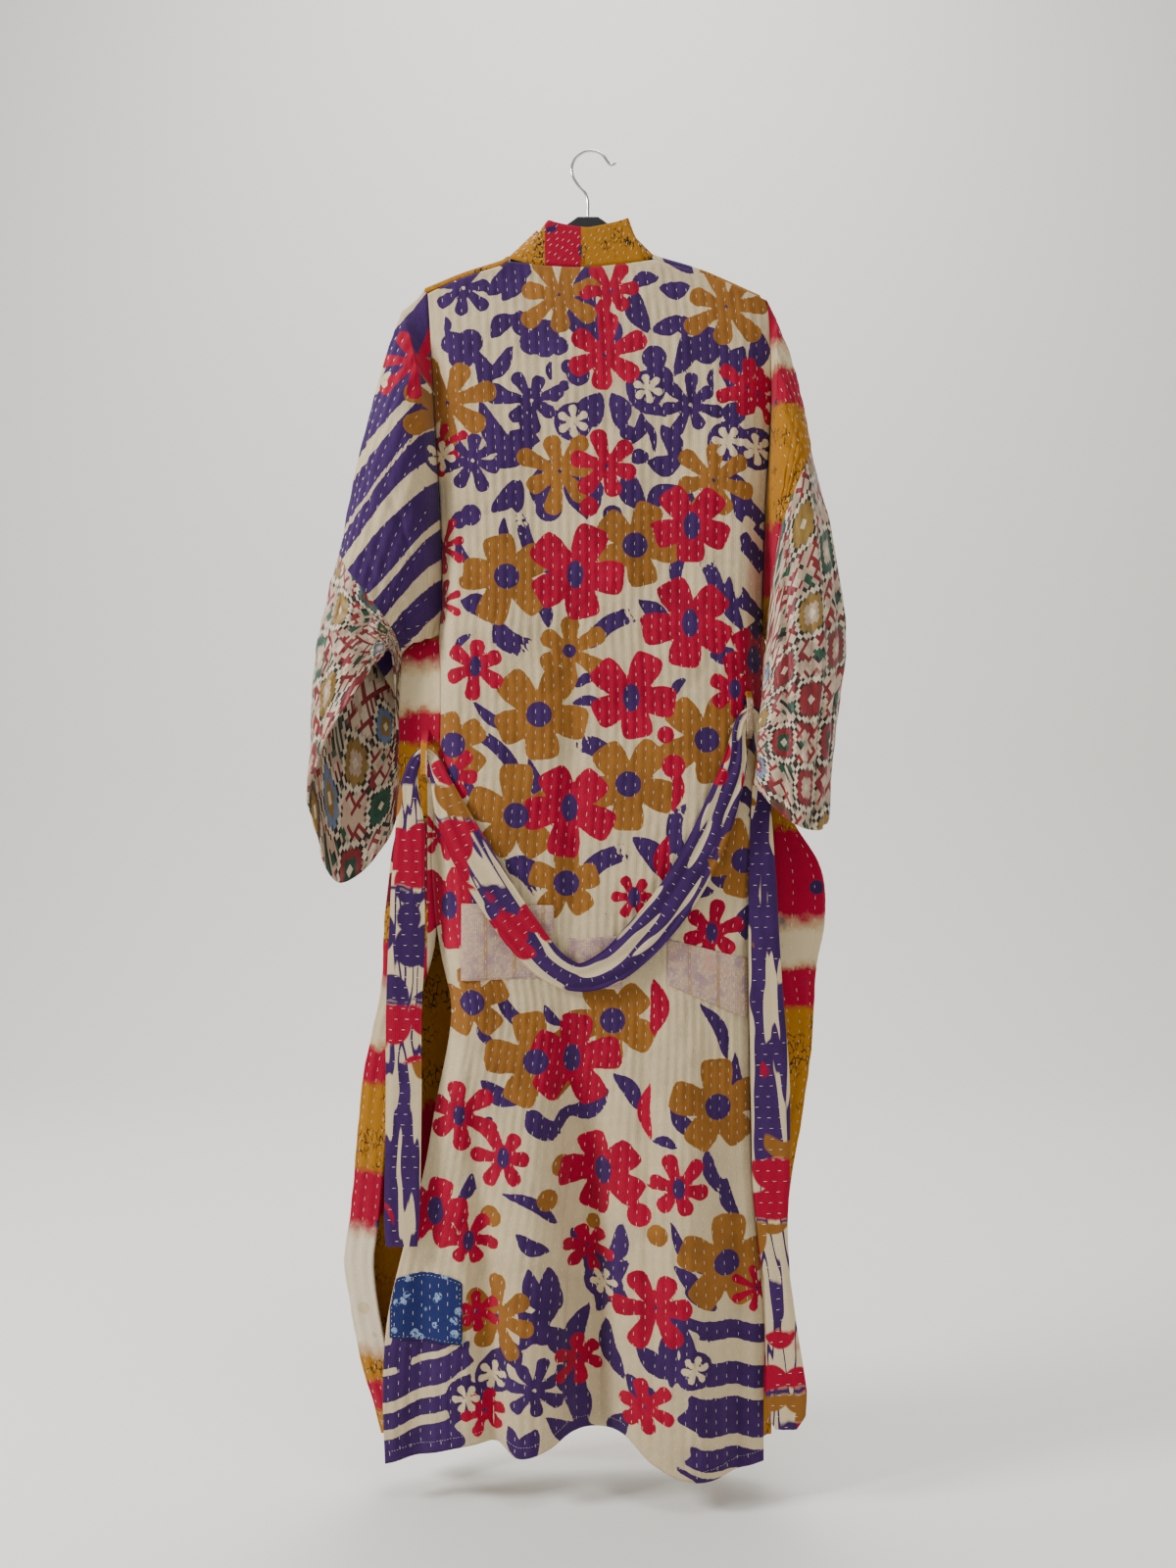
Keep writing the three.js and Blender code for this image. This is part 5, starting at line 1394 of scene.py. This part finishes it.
def makeNeckband():
    # The band's wall, with slanting rows of stitches across it
    grid = bandGrid()
    normals = gridNormals(grid)
    middle = len(grid) // 2
    if normals[middle, 6, 1] > 0:
        normals = -normals
    inner = grid - normals * body["wall"]
    uv = clothCoordinates(grid)
    piece = wallPiece("neckbandCloth", grid, inner, 1, False, [fern["neck"], reverse],
                      uv, cottonPrint(grid), replaced=("neckband",))
    rows, columns = grid.shape[:2]
    i = np.linspace(0.4, columns - 1.4, 40)
    lines = [(start + (i - i[0]) * band["stitchSlope"], i)
             for start in np.arange(1, rows - columns, band["stitchRows"])]
    stitches = makeStitches("neckbandStitches", grid, normals, lines, 121, "band")
    declareSheet(piece, uv)


beltSizes = {
    "wall": 3.0, "around": 28, "steps": 560, "swagFold": 1.5, "tailFold": 0.4, "stitchRows": 12.0,
    # x, y, z and width from the left tail's end, up to its loop, along the swag, down the right
    "route": np.array([
        [-212, -46, -1264, 36], [-212, -46, -1238, 40], [-211, -45, -1186, 41],
        [-210, -43, -1093, 41], [-210, -42, -1000, 41], [-207, -40, -920, 42],
        [-206, -36, -850, 38], [-204, -33, -790, 34], [-206, -30, -750, 24],
        [-203, -28, -724, 15], [-197, -27, -709, 13], [-188, -28, -702, 12],
        [-178, -32, -710, 13], [-169, -40, -733, 22], [-155, -47, -771, 38],
        [-134, -50, -814, 46], [-106, -52, -861, 46], [-75, -53, -906, 45],
        [-43, -54, -942, 38], [-11, -54, -957, 32], [25, -55, -945, 40], [62, -55, -912, 46],
        [99, -55, -867, 46], [129, -54, -816, 44], [151, -52, -763, 38], [166, -49, -716, 28],
        [171, -47, -682, 16], [176, -45, -665, 13], [184, -44, -657, 12], [193, -41, -666, 13],
        [198, -38, -692, 15], [198, -36, -749, 21], [199, -42, -850, 32], [202, -44, -962, 38],
        [207, -47, -1074, 45], [208, -49, -1186, 43], [209, -51, -1242, 35], [214, -53, -1298, 30],
        [219, -55, -1358, 36], [224, -57, -1424, 47], [224, -58, -1452, 44],
        [224, -58, -1467, 24]], float),
}


def beltLine(places):
    # Centre, across and facing directions and width at places along the belt
    route = beltSizes["route"]
    center = path(route[:, :3], places)
    tangent = np.gradient(center, axis=0)
    tangent /= np.linalg.norm(tangent, axis=1, keepdims=True)
    across = np.cross(tangent, (0.0, -1.0, 0.0))
    across /= np.linalg.norm(across, axis=1, keepdims=True)
    facing = np.cross(across, tangent)
    facing = np.where(facing[:, 1:2] > 0, -facing, facing)
    width = np.interp(places * (len(route) - 1), np.arange(len(route)), route[:, 3])
    return center, across, facing, width


def makeBelt():
    # A closed tube: its front crowned with lengthwise folds, its back flat, its edges round
    places = np.linspace(0, 1, beltSizes["steps"])
    center, across, facing, width = beltLine(places)
    turn = np.arange(beltSizes["around"]) / beltSizes["around"]
    share = -np.cos(2 * np.pi * turn)[None, :]
    front = (turn < 0.5)[None, :]
    edge = np.abs(share) ** 6
    swag = smooth(places, 0.3, 0.36) * (1 - smooth(places, 0.62, 0.68))
    fold = mix(beltSizes["tailFold"], beltSizes["swagFold"], swag)[:, None]
    drift = 0.5 * np.sin(places * 47)[:, None] + 0.3 * np.sin(places * 118 + 1)[:, None]
    ridges = fold * (np.sin(7.5 * share + 2 * drift) * (1 - edge) + 0.35 * np.sin(17 * share + drift))
    half = beltSizes["wall"] / 2
    height = np.where(front, half * (1 - edge) - 0.8 + np.minimum(ridges, 1.2), -half * (1 - edge))
    offset = share * width[:, None] / 2
    grid = (center[:, None] + across[:, None] * offset[..., None]
            + facing[:, None] * height[..., None])
    rows, around = grid.shape[:2]
    points = grid.reshape(-1, 3)
    blocks = facingOut(points, tubeFaces(rows, around))
    length = np.concatenate([[0], np.cumsum(np.linalg.norm(np.diff(center, axis=0), axis=1))])
    uv = np.stack([offset, length[:, None] + 0 * offset], -1)
    piece = makePiece("beltCloth", points, blocks, [beltCotton],
                      uv=uv.reshape(-1, 2), replaced=("belt",))
    face = grid[:, 1:around // 2]
    normals = np.broadcast_to(facing[:, None], face.shape)
    middles = np.arange(0, length[-1] - beltSizes["stitchRows"] / 2, beltSizes["stitchRows"])
    j = np.interp(middles + beltSizes["stitchRows"] / 2, length, np.arange(rows))
    i = np.linspace(0, face.shape[1] - 1, 30)
    lines = [(at + 0 * i, i) for at in j]
    stitches = makeStitches("beltStitches", face, normals, lines, 141, "belt")
    declareSheet(piece, uv)


beltLoops = {  # left x, right x, top z, low z, outer y at its left and right
    "left": (-192, -184, -675, -736, -29.8, -34.6),
    "right": (180.5, 188, -632, -686, -47.6, -45.8),
}


def bodyFaceY(x, z):
    # Depth of the cloth nearest the viewer: the back, or past its left seam the front panel
    onBack = backFaceY(x, z)
    edgeX, edgeY = frontEdge("left", z)
    foldX = -frontValue("left", "foldOut", z)
    onFront = mix(edgeY, frontValue("left", "foldY", z), np.clip((x - edgeX) / (foldX - edgeX), 0, 1))
    return np.where(x >= backValue("leftX", z), onBack, onFront)


def makeLoop(side):
    # A strip sewn to the body at both ends, standing off it over the belt between them
    leftX, rightX, topZ, lowZ, leftY, rightY = beltLoops[side]
    share = np.linspace(0, 1, 41)[:, None]
    across = np.linspace(0, 1, 9)[None, :]
    x, z = mix(leftX, rightX, across) + 0 * share, mix(topZ, lowZ, share) + 0 * across
    stand = smooth(share, 0, 0.3) * smooth(1 - share, 0, 0.16)
    y = mix(bodyFaceY(x, z) - 0.9, mix(leftY, rightY, across), stand)
    inner = np.stack([x, y, z], -1)
    outer = inner - np.array([0, 1.5, 0]) * (1 + 0.15 * np.sin(np.pi * across))[..., None]
    wallPiece(f"beltLoop{side.title()}", outer, inner, 1, False, [fern[side]],
              clothCoordinates(outer), replaced=(f"belt_loop_{side}",))


patches = {  # from x, to x, top z at left and right, low z at left and right, rise of its top
    "pale_left": (-144, -39, -874, -876, -962, -958, 0),
    "pale_center": (-23, 38, -914, -911, -968, -972, 0),
    "mauve_right": (90, 183, -914, -938, -966, -1006, 0),
    "blue_left": (-227, -143, -1304, -1300, -1372, -1376, 12),
}


patchSizes = {"rows": 37, "columns": 49, "gap": 0.3, "rim": 1.1, "rise": 0.8, "stitchRows": 11.0}


def makePatch(name, material):
    # Part of the back's own surface between four corners, lifted; its top may be rounded
    fromX, toX, topLeft, topRight, lowLeft, lowRight, rise = patches[name]
    rows, columns = patchSizes["rows"], patchSizes["columns"]
    share = np.linspace(0, 1, columns)[None, :]
    down = np.linspace(0, 1, rows)[:, None]
    top = mix(topLeft, topRight, share) + rise * (np.sin(np.pi * share) ** 0.6 - 0.6)
    low = mix(lowLeft, lowRight, share)
    z = mix(top, low, down)
    x = np.maximum(mix(fromX, toX, share) + 0 * down, backValue("leftX", z) + 1)
    x = np.minimum(x, backValue("rightX", z) - 1)
    base = np.stack([x, backFaceY(x, z), z], -1)
    normals = gridNormals(base)
    if normals[..., 1].mean() > 0:
        normals = -normals
    fromEdge = np.minimum(share, 1 - share) * columns, np.minimum(down, 1 - down) * rows
    raised = smooth(fromEdge[0], 0, 2) * smooth(fromEdge[1], 0, 2)
    outer = base + normals * (patchSizes["rim"] + patchSizes["rise"] * raised)[..., None]
    inner = base + normals * patchSizes["gap"]
    uv = clothCoordinates(outer)
    title = name.title().replace("_", "")
    piece = wallPiece("patch" + title, outer, inner, 1, False, [material], uv,
                      replaced=(f"patch_{name}",))
    j, i = np.linspace(1.2, rows - 2.2, 60), np.linspace(1.2, columns - 2.2, 80)
    lines = [(j, 0 * j + 1.5), (j, 0 * j + columns - 2.5), (0 * i + 1.5, i), (0 * i + rows - 2.5, i)]
    edge = makeStitches(f"patch{title}Stitches", outer, normals, lines, 161, "patch")
    width = uv[0, -1, 0]
    j = np.arange(rows, dtype=float)
    across = np.arange(6, width - 4, patchSizes["stitchRows"]) / width * (columns - 1)
    quilted = makeStitches(f"patch{title}Quilting", outer, normals,
                           [(j, 0 * j + at) for at in across], 163)
    declareSheet(piece, uv)


hook = {
    "wire": 3.4, "radius": 22, "centerX": 3, "centerZ": -20.3, "footZ": -75.7,
    "stem": [(0, -68), (0, -58), (-3, -48), (-11, -39)], "tip": [(27, -15), (33, -12)],
}


def makeHook():
    # The wire's line: up the stem, round the hook's arc, out to its tip; its last ends are round
    angle = np.radians(np.arange(205, 24, -20))
    arc = np.stack([hook["centerX"] + hook["radius"] * np.cos(angle),
                    hook["centerZ"] + hook["radius"] * np.sin(angle)], -1)
    flat = np.concatenate([[(0, hook["footZ"])], hook["stem"], arc, hook["tip"]])
    corners = np.stack([flat[:, 0], 0 * flat[:, 0], flat[:, 1]], -1)
    line = path(corners, np.linspace(0, 1, 180))
    along = np.concatenate([[0], np.cumsum(np.linalg.norm(np.diff(line, axis=0), axis=1))])
    left = np.clip((along[-1] - along) / (hook["wire"] / 2), 0, 1)
    radius = hook["wire"] / 2 * np.sqrt(np.maximum(1 - (1 - left) ** 2, 0.02))
    tubePiece("hookWire", line, radius, 20, chrome, ("hanger_hook",))


armEdge = 1.8  # millimetres that the arms' rounded edges take


def makeHanger():
    # The arms' own solid with its corners merged and its edges rounded
    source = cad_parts["hanger_arms"]
    mesh = source.data.copy()
    piece = bpy.data.objects.new("hangerArms", mesh)
    bpy.context.scene.collection.objects.link(piece)
    shape = bmesh.new()
    shape.from_mesh(mesh)
    bmesh.ops.remove_doubles(shape, verts=shape.verts, dist=1e-5)
    sharp = [edge for edge in shape.edges if edge.calc_face_angle(0) > np.radians(50)]
    bmesh.ops.bevel(shape, geom=sharp, offset=armEdge * millimetre, segments=3, affect="EDGES",
                    profile=0.6)
    for face in shape.faces:
        face.smooth = True
    shape.to_mesh(mesh)
    shape.free()
    mesh.materials.clear()
    mesh.materials.append(flock)
    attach(piece, "root")
    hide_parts("hanger_arms")


print("back")
makeBack()
print("fronts, sleeves and loops")
for side in ("left", "right"):
    makeFront(side)
    makeSleeve(side)
    makeLoop(side)
print("neckband and belt")
makeNeckband()
makeBelt()
print("patches")
for patchName in patches:
    blue = patchName == "blue_left"
    makePatch(patchName, bluePatch if blue else patchCotton)
print("hanger")
makeHook()
makeHanger()

# Camera, floor and light

view = {"y": -1730, "z": -738, "lens": 34, "sensor": 36}
skyLight = {"colour": (1.0, 0.98, 0.94, 1), "strength": 0.42}
studio = {"floorZ": -1560, "wallY": 3200, "bend": 900, "nearY": -5200, "wide": 5200, "wallTop": 5200}
lamps = {  # x, y, z, size, watts and where each points
    "key": ((-2300, -900, 600), 700, 82, (0, 0, -850)),
    "top": ((300, -900, 1900), 900, 22, (0, 0, -700)),
    "fill": ((2200, -1900, -500), 1600, 9, (0, 0, -800)),
    "back": ((0, 1900, 1300), 1600, 24, (0, 0, -500)),
    "paper": ((0, 1200, 2300), 2400, 85, (0, 3200, -600)),
}

camera = bpy.data.objects.new("camera", bpy.data.cameras.new("camera"))
camera.data.lens = view["lens"]
camera.data.sensor_width = view["sensor"]
camera.location = (0, view["y"] * millimetre, view["z"] * millimetre)
camera.rotation_euler = (np.pi / 2, 0, 0)
bpy.context.scene.collection.objects.link(camera)
bpy.context.scene.camera = camera


def makeStudio():
    # Floor that bends up into a wall: a line, a quarter circle and a line, swept across
    turn = np.linspace(0, np.pi / 2, 25)
    curveY = studio["wallY"] - studio["bend"] + studio["bend"] * np.sin(turn)
    curveZ = studio["floorZ"] + studio["bend"] * (1 - np.cos(turn))
    y = np.concatenate([[studio["nearY"]], curveY, [studio["wallY"]]])
    z = np.concatenate([[studio["floorZ"]], curveZ, [studio["wallTop"]]])
    across = np.array([-1, 1]) * studio["wide"]
    points = np.stack([np.broadcast_to(across, (len(y), 2)), np.repeat(y[:, None], 2, 1),
                       np.repeat(z[:, None], 2, 1)], -1).reshape(-1, 3)
    k = np.arange(len(y) - 1)[:, None] * 2
    mesh = bpy.data.meshes.new("studioFloor")
    mesh.from_pydata((points * millimetre).tolist(), [], (k + np.array([0, 1, 3, 2])).tolist())
    mesh.polygons.foreach_set("use_smooth", np.ones(len(k), bool))
    mesh.materials.append(makePlain("studioPaper", (0.88, 0.87, 0.83, 1), 0.9))
    floor = bpy.data.objects.new("studioFloor", mesh)
    bpy.context.scene.collection.objects.link(floor)


def makeLamp(name):
    # A square lamp turned from its place toward its target
    place, size, watts, target = lamps[name]
    light = bpy.data.lights.new(name, "AREA")
    light.size = size * millimetre
    light.energy = watts
    lamp = bpy.data.objects.new(name, light)
    lamp.location = [c * millimetre for c in place]
    way = Vector(target) - Vector(place)
    lamp.rotation_euler = way.to_track_quat("-Z", "Y").to_euler()
    bpy.context.scene.collection.objects.link(lamp)


print("studio")
makeStudio()
for lampName in lamps:
    makeLamp(lampName)

world = bpy.data.worlds.new("studio")
world.use_nodes = True
sky = world.node_tree.nodes["Background"]
sky.inputs["Color"].default_value = skyLight["colour"]
sky.inputs["Strength"].default_value = skyLight["strength"]
bpy.context.scene.world = world
